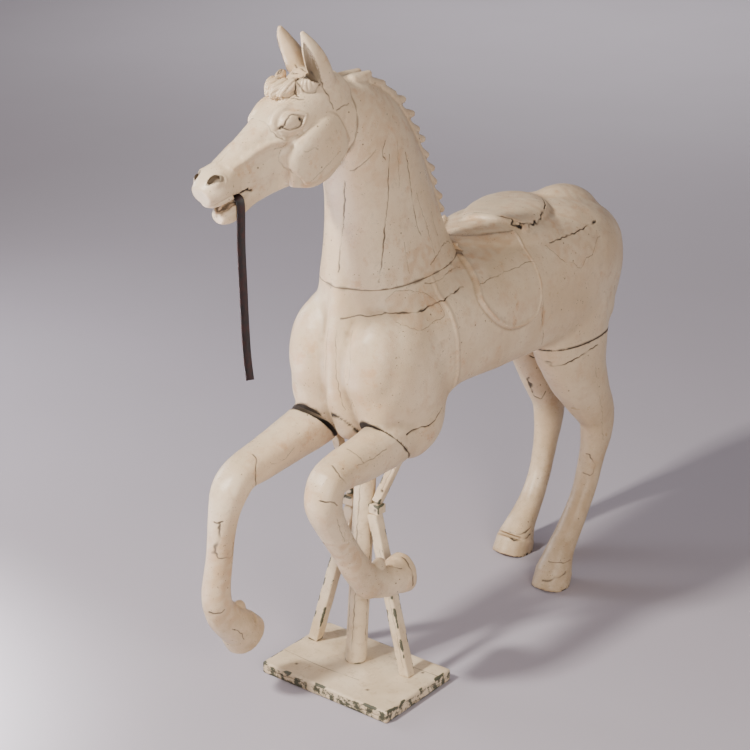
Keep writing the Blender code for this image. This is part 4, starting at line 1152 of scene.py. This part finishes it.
LOWER_TEETH, UPPER_TEETH = (0.292, 0.300, 0.308, 0.315, 0.321), (0.300, 0.308, 0.316, 0.323)
# Some are splits; the lines of the lids, the eye sockets, the lips, the mouth's corners and the gaps
# between the teeth are carved creases, darkened with dirt and with painted shade.
HEAD_MARKS = [
    *both_cheeks(lid_line(UPPER_LID), 0.9),
    *both_cheeks(lid_line(LOWER_LID), 0.75),
    *both_cheeks(((0.034, -0.057), (0.050, -0.062), (0.061, -0.060), (0.067, -0.050),
                  (0.072, -0.040)), 1.0),
    *both_cheeks(((0.053, -0.067), (0.058, -0.055), (0.057, -0.038), (0.041, -0.025),
                  (0.019, -0.036)), 0.8),
    *both_cheeks(((0.097, -0.057), (0.078, -0.039), (0.070, -0.031)), 0.7),
    ("near cheek", ((0.136, 0.035), (0.129, 0.042), (0.116, 0.045), (0.109, 0.054)), 0.7),
    ("near cheek", ((0.018, -0.058), (0.021, -0.042), (0.021, -0.023), (0.026, -0.003),
                    (0.033, 0.025)), 0.9),
    ("near cheek", ((0.028, 0.034), (0.008, 0.040), (-0.007, 0.049)), 0.8),
    ("near cheek", ((0.156, 0.099), (0.120, 0.100), (0.090, 0.099), (0.067, 0.101)), 0.4),
    ("near cheek", ((0.164, 0.012), (0.178, 0.027), (0.172, 0.061)), 0.5),
    ("near cheek", ((0.150, 0.010), (0.165, 0.006), (0.175, 0.000)), 0.6),
    *both_cheeks(((0.150, -0.044), (0.157, -0.026), (0.151, -0.006), (0.138, 0.006),
                  (0.122, 0.009)), 0.6),
    *both_cheeks(((0.284, 0.034), (0.300, 0.032), (0.314, 0.031), (0.325, 0.030)), 0.7),
    *both_cheeks(((0.252, 0.037), (0.257, 0.034), (0.262, 0.028), (0.272, 0.024)), 1.6),
    *[mark for along in LOWER_TEETH
      for mark in both_cheeks(((along, 0.024), (along + 0.002, 0.032)), 0.6)],
    *[mark for along in UPPER_TEETH
      for mark in both_cheeks(((along, 0.010), (along + 0.001, 0.018)), 0.5)],
]
CHEEK_PLATE = ((0.150, 0.010), (0.164, 0.012), (0.178, 0.027), (0.172, 0.061), (0.168, 0.080),
               (0.163, 0.102), (0.120, 0.118), (0.070, 0.124), (0.032, 0.117), (0.031, 0.092),
               (0.032, 0.039), (0.060, 0.010), (0.100, 0.014))
CHEEK_STEP, CHEEK_EDGE = 0.0030, 0.003
CHEEK_INNER = 0.012  # from the head's middle, where a cheek starts
CHEEK_TOP, CHEEK_FADE = 0.008, 0.03  # how deep its step starts, and over what depth it grows
FACE_RIDGES = [
    # along and deep of each line on a cheek, its height, and its width
    (((0.158, -0.030), (0.180, -0.031), (0.202, -0.033), (0.240, -0.039), (0.267, -0.043)),
     -0.0022, 0.008),
    (((0.151, -0.003), (0.178, -0.018), (0.207, -0.027), (0.238, -0.029), (0.260, -0.033)),
     0.0022, 0.005),
    (((0.152, -0.025), (0.147, -0.008), (0.130, 0.005), (0.110, 0.010)), -0.0018, 0.004),
    (((0.150, 0.012), (0.180, 0.010), (0.205, 0.005), (0.225, -0.004)), -0.0022, 0.008),
    (((0.225, 0.030), (0.215, 0.045), (0.195, 0.058)), -0.0014, 0.008),
    (((0.270, 0.010), (0.268, 0.022), (0.262, 0.030)), -0.0012, 0.004),
]
HAIR_START, HAIR_END, HAIR_DEEPEST = 0.030, 0.112, -0.036  # along, along and deep of the forelock
STRAND, STRAND_DEPTH = 0.0052, 0.0017  # across one strand, and into the groove between two
STRANDS_TURN = 0.07  # along the head, where the strands bend
# Both eye holes are sunk and painted dark as shade.
EYE_HOLES = (  # the pupil and the eye's front corner: middle, half length and half height
    ((0.101, -0.012), 0.0046, 0.0076), ((0.141, -0.025), 0.0070, 0.0040))
EYE_HOLE_DEPTH = 0.003
# The ear's and the nostril's hollows: their line, radii, and how dark their painted shade is.
DARK_HOLLOWS = ((EAR_HOLLOW, EAR_HOLLOW_RADII, 0.66), (NOSE_HOLLOW, NOSE_HOLLOW_RADII, 0.62))
TOOTH, TEETH_START, TEETH_INNER = 0.0085, 0.286, 0.008  # long; along; from the head's middle


def raise_cheeks(mesh):
    """Leaves the cheeks standing a step above the jaw, and models the ridges of the face."""
    rows = head_places(places_of(mesh))
    outline = smooth_rows(CHEEK_PLATE, 4)
    edge = to_line(rows[:, :2], np.vstack([outline, outline[:1]]))
    share = limited(np.where(np.isfinite(edge), edge, 1) / CHEEK_EDGE)
    share = share * inside(rows[:, :2], outline) * (np.abs(rows[:, 2]) > CHEEK_INNER)
    press(mesh, CHEEK_STEP * share * limited((rows[:, 1] - CHEEK_TOP) / CHEEK_FADE))
    for view in ("near cheek", "far cheek"):
        for points, height, width in FACE_RIDGES:
            swell(mesh, (view, points), height, width)


def comb_forelock(mesh):
    """Cuts strands along the tufts between the ears."""
    along, deep, side = head_places(places_of(mesh)).T
    there = limited((along - HAIR_START) / 0.015) * limited((HAIR_END - along) / 0.010)
    there = there * limited((HAIR_DEEPEST - deep) / 0.006)
    bent = side + 0.10 * (along - STRANDS_TURN) + 6 * (along - STRANDS_TURN) ** 2
    groove = (0.5 + 0.5 * np.cos(2 * math.pi * bent / STRAND)) ** 2
    press(mesh, -STRAND_DEPTH * there * groove)


def carve_features(mesh):
    """Drills the pupils and cuts the eyes' front corners, and paints shade into them, into the hollows
    of the ears and nostrils and into the mouth, leaving the teeth lighter.
    """
    places = places_of(mesh)
    along, deep, side = head_places(places).T
    across = np.abs(head_ways(normals_of(mesh))[:, 2]) > 0.3
    # Painted shade in the pupils and the eyes' front corners.
    for middle, long, high in EYE_HOLES:
        gap = np.hypot((along - middle[0]) / long, (deep - middle[1]) / high)
        share = limited(1.6 - 1.6 * gap) * across
        press(mesh, -EYE_HOLE_DEPTH * share)
        note(mesh, "grime_and_shade", share)
    # Painted shade in the hollows of the ears and the nostrils.
    for points, radii, painted_shade in DARK_HOLLOWS:
        for flank in (1, -1):
            line = [(*place, r) for place, r in zip(at_side(flank, points), radii)]
            for x, y, z, radius in smooth_rows(line, 6):
                gap = np.linalg.norm(places - (x, y, z), axis=1)
                note(mesh, "grime_and_shade", painted_shade * (gap < radius * 1.10))
    # Painted shade in the mouth, lighter on the teeth.
    share = (along - MOUTH_CORNER[0]) / (MOUTH_FRONT[0] - MOUTH_CORNER[0])
    off = np.abs(deep - MOUTH_CORNER[1] - (MOUTH_FRONT[1] - MOUTH_CORNER[1]) * share)
    high = MOUTH_BACK_HIGH + (MOUTH_FRONT_HIGH - MOUTH_BACK_HIGH) * share
    mouth = (off < high / 2 + 0.0004) & (share > 0)
    tooth = limited(1.5 * np.cos(2 * math.pi * along / TOOTH))
    tooth = tooth * limited((np.abs(side) - TEETH_INNER) / 0.006) * (along > TEETH_START)
    note(mesh, "grime_and_shade", mouth * (1 - 0.55 * tooth))


def make_head():
    mesh = carved([head, neck], [ears, forelock, eyes, muzzle], voxel=0.0017, softness=8)
    mesh = cut(mesh, box((-FAR, HEAD_JOINT - JOINT_GAP / 2, 0), (FAR, FAR, 2 * FAR)),
               box((-FAR, HEAD_JOINT - 0.15, 0), (FAR, FAR, THROAT)), mouth_wedge(),
               *[scoop(side, line, radii) for line, radii, _ in DARK_HOLLOWS for side in (1, -1)])
    comb_forelock(mesh)
    raise_cheeks(mesh)
    aged(mesh, HEAD_MARKS, 0.0016, [HEAD_SEAM], widths=())
    carve_features(mesh)
    return finished("carved_head", mesh, paint, "old_paint", "head")


make_head()

# %% [markdown]
# **The neck** takes the withers with it, down to the joint on the body.

# %% Make the neck
NECK_MARKS = [
    ("front", ((0.020, 1.125), (0.010, 1.055), (0.005, 1.010), (0, 0.970), (0, 0.935)), 0.9),
    ("left", ((0.030, 1.175), (0.025, 1.135), (0.020, 1.080), (0.010, 1.025), (0, 0.965),
              (-0.010, 0.920)), 0.9),
    ("left", ((0.090, 1.165), (0.095, 1.120), (0.100, 1.065), (0.105, 1.025), (0.115, 0.990)), 1.0),
    ("left", ((0.118, 1.075), (0.128, 1.045), (0.140, 1.010), (0.152, 0.975), (0.158, 0.940)), 0.6),
    ("left", ((0.175, 1.020), (0.180, 0.995), (0.190, 0.970)), 0.8),
    ("left", ((0.062, 1.200), (0.058, 1.150), (0.056, 1.100)), 0.45),
    ("left", ((0.020, 1.205), (0.010, 1.180), (0.016, 1.165)), 0.8),
    ("left", ((-0.010, 1.190), (-0.030, 1.170), (-0.048, 1.150)), 0.6),
    ("left", ((0.060, 0.990), (0.058, 0.955), (0.062, 0.925)), 0.5),
    ("left", ((0.135, 0.925), (0.170, 0.935), (0.205, 0.945), (0.250, 0.940)), 0.6),
    ("right", ((0.050, 1.180), (0.055, 1.080), (0.050, 0.980)), 0.8),
    ("right", ((0.120, 1.100), (0.130, 1.020), (0.140, 0.950)), 0.7),
]
NECK_STAINS = [
    ("left", ((-0.045, 1.300), (0.060, 1.300), (0.085, 1.180), (0.020, 1.110), (-0.045, 1.140)), 0.5),
    ("left", ((0.050, 0.960), (0.110, 0.975), (0.165, 0.940), (0.160, 0.905), (0.040, 0.905)), 0.7),
    ("right", ((-0.045, 1.300), (0.060, 1.300), (0.085, 1.180), (0.020, 1.110)), 0.4),
]


def make_neck():
    mesh = carved([neck, chest, saddle], [mane], voxel=0.0026, softness=8)
    mesh = cut(mesh, box((-FAR, -FAR, 0), (FAR, FAR, NECK_JOINT + JOINT_GAP / 2)),
               box((-FAR, -FAR, THROAT), (FAR, HEAD_JOINT + JOINT_GAP / 2, 2 * FAR)),
               box((-FAR, WITHERS - JOINT_GAP, 0), (FAR, FAR, 2 * FAR)))
    aged(mesh, NECK_MARKS, 0.0016, [HEAD_SEAM, NECK_SEAM], stains=NECK_STAINS)
    return finished("carved_neck", mesh, paint, "old_paint", "neck")


make_neck()

# %% [markdown]
# **The body** has the saddle's flaps and the girth raised from both of its sides, and is cut flat
# where the neck and the four legs were glued on.

# %% Make the body
FLAP = [(0.300, 0.930), (0.262, 0.885), (0.228, 0.830), (0.268, 0.778), (0.329, 0.742),
        (0.387, 0.736), (0.428, 0.750), (0.446, 0.788), (0.449, 0.847), (0.450, 0.895),
        (0.448, 0.935)]
FLAP_HEIGHT, FLAP_EDGE, FLAP_TOP = 0.007, 0.006, 0.915
FLAP_NEAR = 0.012  # how near to a flap's edge or a girth the faces are split
BEAD, BEAD_MIDDLE, BEAD_WIDTH = 0.0028, 0.007, 0.003  # the bead round a flap, in from its edge
GIRTH = [(0.130, 0.895), (0.133, 0.873), (0.146, 0.771), (0.156, 0.662)]
GIRTH_HEIGHT, GIRTH_WIDTH = 0.003, 0.008
BODY_MARKS = [
    # The first mark runs round the seat's plate: dirt in its edge, and painted shade along its step.
    ("top", ((-0.041, 0.445), (0.030, 0.455), (0.088, 0.465), (0.099, 0.490), (0.096, 0.530),
             (0.085, 0.564), (0.058, 0.616), (-0.010, 0.682), (-0.070, 0.676), (-0.098, 0.598)), 1.1),
    ("left", ((-0.010, 0.860), (0.020, 0.855), (0.065, 0.850), (0.110, 0.853), (0.145, 0.856),
              (0.210, 0.863)), 1.0),
    ("front", ((0.015, 0.843), (0.053, 0.852), (0.092, 0.858)), 0.9),
    ("left", ((0.245, 0.860), (0.345, 0.862), (0.447, 0.864)), 0.5),
    ("left", ((0.532, 0.878), (0.631, 0.879), (0.735, 0.878)), 1.0),
    ("left", ((-0.005, 0.607), (0.030, 0.610), (0.066, 0.608), (0.110, 0.630)), 1.1),
    ("left", ((-0.004, 0.884), (0.030, 0.898), (0.107, 0.869), (0.123, 0.829), (0.080, 0.823),
              (0.041, 0.819), (-0.003, 0.842)), 0.45),
    ("left", ((0.514, 0.878), (0.535, 0.850), (0.554, 0.834), (0.580, 0.826), (0.609, 0.807),
              (0.640, 0.822), (0.665, 0.822), (0.700, 0.846), (0.722, 0.852)), 0.5),
    ("left", ((0.460, 0.773), (0.456, 0.728), (0.470, 0.690), (0.481, 0.658)), 0.6),
    ("left", ((0.100, 0.895), (0.150, 0.888), (0.200, 0.893), (0.250, 0.889)), 0.6),
    ("front", ((0.011, 0.821), (0.014, 0.737), (0.022, 0.646)), 0.45),
    ("front", ((-0.011, 0.821), (-0.014, 0.737), (-0.022, 0.646)), 0.45),
    ("front", ((0.036, 0.821), (0.056, 0.750), (0.035, 0.647)), 0.4),
    ("right", ((0.060, 0.852), (0.180, 0.858), (0.330, 0.862)), 0.8),
    ("right", ((0.480, 0.878), (0.640, 0.879), (0.760, 0.872)), 0.9),
]
BODY_STAINS = [
    ("left", ((0.514, 0.878), (0.535, 0.850), (0.554, 0.834), (0.609, 0.807), (0.665, 0.822),
              (0.722, 0.852), (0.660, 0.900)), 0.45),
    ("left", ((-0.004, 0.884), (0.030, 0.898), (0.107, 0.869), (0.123, 0.829), (0.041, 0.819),
              (-0.003, 0.842)), 0.55),
    ("left", ((0.190, 0.890), (0.260, 0.935), (0.400, 0.950), (0.440, 0.925), (0.400, 0.895),
              (0.280, 0.880)), 0.75),
    ("left", ((0.449, 0.760), (0.462, 0.755), (0.464, 0.715), (0.452, 0.700)), 1.0),
    ("left", ((0.560, 0.990), (0.860, 0.990), (0.860, 0.905), (0.700, 0.892), (0.560, 0.900)), 0.6),
    ("right", ((0.560, 0.990), (0.860, 0.990), (0.860, 0.905), (0.700, 0.892), (0.560, 0.900)), 0.5),
    ("left", ((0.740, 0.935), (0.840, 0.925), (0.880, 0.860), (0.840, 0.840), (0.790, 0.880)), 0.7),
    ("right", ((0.180, 0.930), (0.400, 0.950), (0.440, 0.800), (0.240, 0.780)), 0.4),
]


def make_body():
    mesh = carved([barrel, chest, croup, neck, stumps, saddle], [seat_plate], voxel=0.0050,
                  softness=9, ripple=0.0014)
    refine(mesh, [(view, line) for view in ("left", "right") for line in (FLAP, GIRTH)], FLAP_NEAR)
    places = places_of(mesh)
    outline = smooth_rows(FLAP, 4)
    depth = np.where(inside(places[:, 1:], outline), to_line(places[:, 1:], outline), 0)
    depth = np.where(np.isfinite(depth), depth, FLAP_EDGE)
    bead = BEAD * np.exp(-((depth - BEAD_MIDDLE) / BEAD_WIDTH) ** 2)
    flap = FLAP_HEIGHT * limited(depth / FLAP_EDGE) + bead
    off = to_line(places[:, 1:], smooth_rows(GIRTH, 4))
    press(mesh, np.maximum(flap * (places[:, 2] < FLAP_TOP) * (depth > 0),
                           GIRTH_HEIGHT * limited(1 - off / GIRTH_WIDTH)))
    mesh = cut(mesh, box((-FAR, -FAR, NECK_JOINT - JOINT_GAP / 2), (FAR, WITHERS, 2 * FAR)),
               sloped_slab(True, JOINT_GAP / 2, BREAST, FAR),
               sloped_slab(True, JOINT_GAP / 2, -FAR, -BREAST),
               box((-FAR, BELLY, -FAR), (FAR, FAR, HIND_JOINT + JOINT_GAP / 2)))
    aged(mesh, BODY_MARKS, 0.0022,
         [NECK_SEAM, HIND_SEAM, ((0, *FORELEG_JOINT), FORELEG_WAY, 1.0, -FAR, FORELEG_JOINT_END)],
         (0.0040, 0.0025), BODY_STAINS)
    return finished("carved_body", mesh, paint, "old_paint", "body")


make_body()

# %% [markdown]
# **The legs** start at their joints. The left ones show their outer side and the right ones their
# inner side, so those are the sides with the splits.

# %% Make the legs
LEG_MARKS = {
    # y and z of each split, on the side of the leg that shows, and its width
    ("left", "fore"): [
        (((-0.208, 0.602), (-0.212, 0.589), (-0.199, 0.568)), 0.8),
        (((-0.070, 0.598), (-0.110, 0.592), (-0.160, 0.590)), 0.5),
        (((-0.160, 0.640), (-0.150, 0.610), (-0.140, 0.590)), 0.7),
        (((-0.255, 0.545), (-0.238, 0.540), (-0.226, 0.530)), 1.0),
        (((-0.225, 0.500), (-0.215, 0.470), (-0.200, 0.440)), 0.5),
        (((-0.060, 0.330), (-0.045, 0.318), (-0.030, 0.314)), 0.6),
        (((-0.007, 0.326), (-0.011, 0.317), (-0.012, 0.300), (-0.011, 0.272)), 1.0)],
    ("right", "fore"): [
        (((-0.219, 0.572), (-0.232, 0.550), (-0.236, 0.528), (-0.228, 0.505)), 0.9),
        (((-0.120, 0.560), (-0.160, 0.545), (-0.190, 0.548)), 0.5),
        (((-0.350, 0.462), (-0.330, 0.458), (-0.318, 0.462)), 1.0),
        (((-0.322, 0.459), (-0.328, 0.420), (-0.333, 0.388), (-0.315, 0.381),
          (-0.299, 0.380), (-0.296, 0.407)), 0.8),
        (((-0.300, 0.560), (-0.322, 0.530), (-0.330, 0.500), (-0.326, 0.470)), 0.7),
        (((-0.360, 0.270), (-0.345, 0.262), (-0.330, 0.270)), 0.9),
        (((-0.310, 0.215), (-0.290, 0.200), (-0.280, 0.180)), 0.7)],
    ("left", "hind"): [
        (((0.572, 0.581), (0.583, 0.570), (0.609, 0.578), (0.650, 0.588), (0.707, 0.595)), 1.1),
        (((0.700, 0.540), (0.720, 0.470), (0.750, 0.400), (0.770, 0.330)), 0.4),
        (((0.740, 0.300), (0.748, 0.270), (0.735, 0.245), (0.722, 0.262)), 0.7),
        (((0.560, 0.060), (0.590, 0.068), (0.640, 0.062)), 0.6),
        (((0.569, 0.026), (0.585, 0.035), (0.613, 0.043)), 1.1)],
    ("right", "hind"): [
        (((0.766, 0.439), (0.780, 0.405), (0.801, 0.374), (0.803, 0.395)), 0.9),
        (((0.800, 0.560), (0.790, 0.510), (0.800, 0.470)), 0.8),
        (((0.745, 0.505), (0.760, 0.498), (0.778, 0.500)), 1.0),
        (((0.660, 0.060), (0.700, 0.056), (0.730, 0.062)), 0.8),
        (((0.673, 0.045), (0.700, 0.043), (0.723, 0.046)), 1.3)],
}
SOLE_TRIM, SLAB = 0.003, 0.16  # how much of a sole is cut off, and the slab that cuts it
FORELEG_STAIN = ("left", ((-0.400, 0.420), (-0.180, 0.430), (-0.180, 0.300), (-0.400, 0.180)),
                 0.8)
PATCH, PATCH_HALF = (0.845, 0.478), (0.026, 0.052)  # y, z of the dirt inside the right hind leg
RIM_CHIPS = 0.007  # how high the chips round a hind hoof reach


def sole_slab(coronet, sole):
    """Everything below a hoof's flat sole."""
    way = (Vector(sole[:3]) - Vector(coronet[:3])).normalized()
    middle = Vector(sole[:3]) - way * SOLE_TRIM + way * SLAB / 2
    return cube(Matrix.Translation(middle) @ way.to_track_quat("Z", "Y").to_matrix().to_4x4(), SLAB)


def make_foreleg(name, side, view):
    gap = JOINT_GAP / 2 if side > 0 else FORELEG_GAP
    form = leg(FORELEGS[side], FORELEG_KNOBS[side])
    mesh = carved([form], [], voxel=0.0026, softness=7, ripple=0.0012)
    mesh = cut(mesh, sloped_slab(False, -gap, -FAR, FAR), sole_slab(*FORELEGS[side][-2:]))
    seam = (Vector((0, *FORELEG_JOINT)) - FORELEG_WAY * gap, FORELEG_WAY, 1.0, -FAR, FAR)
    aged(mesh, [(view, *mark) for mark in LEG_MARKS[name, "fore"]], 0.0016, [seam],
         stains=[FORELEG_STAIN])
    finished("carved_" + name + "_foreleg", mesh, paint, "old_paint", name + "_foreleg")


def make_hind_leg(name, side, view):
    mesh = carved([leg(HIND_LEGS[side])], [], voxel=0.0028, softness=6, ripple=0.0012)
    mesh = cut(mesh, box((-FAR, -FAR, HIND_JOINT - JOINT_GAP / 2), (FAR, FAR, 2 * FAR)),
               box((-FAR, -FAR, -FAR), (FAR, FAR, 0)))
    aged(mesh, [(view, *mark) for mark in LEG_MARKS[name, "hind"]], 0.0016, [HIND_SEAM])
    places = places_of(mesh)
    if side < 0:
        off = np.hypot(*((places[:, 1:] - PATCH) / PATCH_HALF).T)
        patch = limited(4 * (1 - off + 0.2 * wander(places, 0.02)))
        note(mesh, "grime_and_shade", 0.6 * (normals_of(mesh)[:, 0] > 0) * patch)
    chips = limited(1 - places[:, 2] / RIM_CHIPS) * limited(wander(places, 0.012))
    note(mesh, "grime_and_shade", limited(2.5 * chips))
    finished("carved_" + name + "_hind_leg", mesh, paint, "old_paint", name + "_hind_leg")


for name, side, view in (("left", 1, "left"), ("right", -1, "inner")):
    make_foreleg(name, side, view)
    make_hind_leg(name, side, view)

# %% [markdown]
# **The stand.** Its pieces keep the shapes of the model, so each is a copy of its node, remeshed
# fine enough for worn edges, for the splits along its grain and for the dents of its nails.

# %% Make the stand
STAND_MARKS = {
    "base_plate": [
        ("space", ((-0.150, -0.060, 0.028), (-0.040, -0.066, 0.028), (0.060, -0.060, 0.028)), 0.6),
        ("space", ((0.050, 0.060, 0.028), (0.120, 0.056, 0.028), (0.185, 0.058, 0.028)), 0.7),
        ("front", ((-0.140, 0.012), (-0.060, 0.016), (0.010, 0.013)), 0.7),
        ("front", ((0.090, 0.010), (0.150, 0.014), (0.185, 0.012)), 0.6)],
    "post": [("front", ((0.004, 0.060), (0.006, 0.200), (0.003, 0.330), (0.005, 0.470)), 0.7),
             ("front", ((-0.009, 0.100), (-0.008, 0.230), (-0.011, 0.360)), 0.6),
             ("left", ((0.010, 0.080), (0.024, 0.260), (0.040, 0.440)), 0.7)],
    "lower_brace_left": [("front", ((0.128, 0.050), (0.085, 0.200), (0.055, 0.310)), 0.5)],
    "upper_brace_left": [("front", ((0.050, 0.440), (0.080, 0.510), (0.100, 0.560)), 0.5)],
}
NAILS = {  # x, y, z of the nails that hold each batten
    "lower_brace_left": ((0.047, 0.014, 0.345), (0.128, 0.003, 0.050)),
    "lower_brace_right": ((-0.047, 0.014, 0.345), (-0.128, 0.003, 0.050)),
    "brace_block_left": ((0.040, 0.022, 0.394),), "upper_brace_left": ((0.052, 0.030, 0.440),),
    "base_plate": ((0.100, -0.080, 0.028), (-0.090, -0.090, 0.028), (0.150, 0.050, 0.028)),
}
NAIL, NAIL_DEPTH = 0.0032, 0.0015  # radius of a nail's dent at its rim, and its depth
EDGE_BARE, EDGE_TOP, EDGE_FADE = 0.74, 0.027, 0.003  # how worn the plate's edge is, and up to where


def make_stand():
    for name in ("base_plate", "post", "lower_brace_left", "lower_brace_right",
                 "brace_block_left", "brace_block_right", "upper_brace_left", "upper_brace_right"):
        clay = bmesh.new()
        clay.from_mesh(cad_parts[name].data)
        bmesh.ops.remove_doubles(clay, verts=clay.verts, dist=0.00002)
        bmesh.ops.translate(clay, verts=clay.verts, vec=-foot)
        mesh = skin_of(clay, voxel=0.0026, softness=2)
        aged(mesh, STAND_MARKS.get(name, []), 0.0010)
        places = places_of(mesh)
        if name == "base_plate":
            note(mesh, "bare", EDGE_BARE * limited((EDGE_TOP - places[:, 2]) / EDGE_FADE))
        for nail in NAILS.get(name, []):
            share = limited(1.5 - np.linalg.norm(places - nail, axis=1) / NAIL)
            press(mesh, -NAIL_DEPTH * share)
            note(mesh, "grime_and_shade", share)
        finished("worn_" + name, mesh, stand_paint, "painted_stand", name)


make_stand()

# %% [markdown]
# **Studio.** A pale floor runs on out of view under a grey surround. A small strong light stands
# high ahead of the horse. A weak one on its right and a wide one on its left open the shadows,
# and two that point straight down brighten the floor, one ahead of it and one far behind.

# %% Studio
FLOOR_RADIUS = 14
LIGHTS_AIM = Vector((0, 0, 0.6))
LIGHTS = (
    # name, place, size, watts, tint, spread in degrees, and whether it is aimed or points down
    ("key_light", (-0.9, -3.1, 3.3), 0.40, 262, "#FFFAF4", 180, True),
    ("side_light", (-3.0, -0.4, 1.4), 1.2, 48, "#F4F3FF", 180, True),
    ("fill_light", (3.4, -2.4, 1.9), 1.8, 118, "#FFF4EA", 180, True),
    ("floor_light", (-1.6, -2.1, 1.8), 1.6, 640, "#FFFFFF", 62, False),
    ("backdrop_light", (-3.6, 6.5, 4.0), 5.0, 110, "#FFFFFF", 110, False),
)
SURROUND, SURROUND_STRENGTH = "#C2BCC0", 0.55


def studio():
    floor = bmesh.new()
    bmesh.ops.create_circle(floor, cap_ends=True, segments=64, radius=FLOOR_RADIUS)
    obj = placed("floor", mesh_of("floor", floor))
    made, tree, place = new_material("matt_studio_paper")
    finish(tree, blend(tree, noise(tree, place, 1.2), "#A7A0A7", "#B0AAB2"), 0.9)
    obj.data.materials.append(made)
    for name, spot, size, power, tint, angle, aimed in LIGHTS:
        lamp = placed(name, bpy.data.lights.new(name, "AREA"))
        lamp.data.size, lamp.data.energy, lamp.data.spread = size, power, math.radians(angle)
        lamp.data.color = linear(tint)[:3]
        lamp.location = spot
        if aimed:
            lamp.rotation_euler = (LIGHTS_AIM - Vector(spot)).to_track_quat("-Z", "Y").to_euler()
    world = bpy.data.worlds.new("studio")
    world.use_nodes = True
    sky = world.node_tree.nodes["Background"].inputs
    sky["Color"].default_value, sky["Strength"].default_value = linear(SURROUND), SURROUND_STRENGTH
    bpy.context.scene.world = world


studio()
print("the floor is", 2 * FLOOR_RADIUS, "m wide")
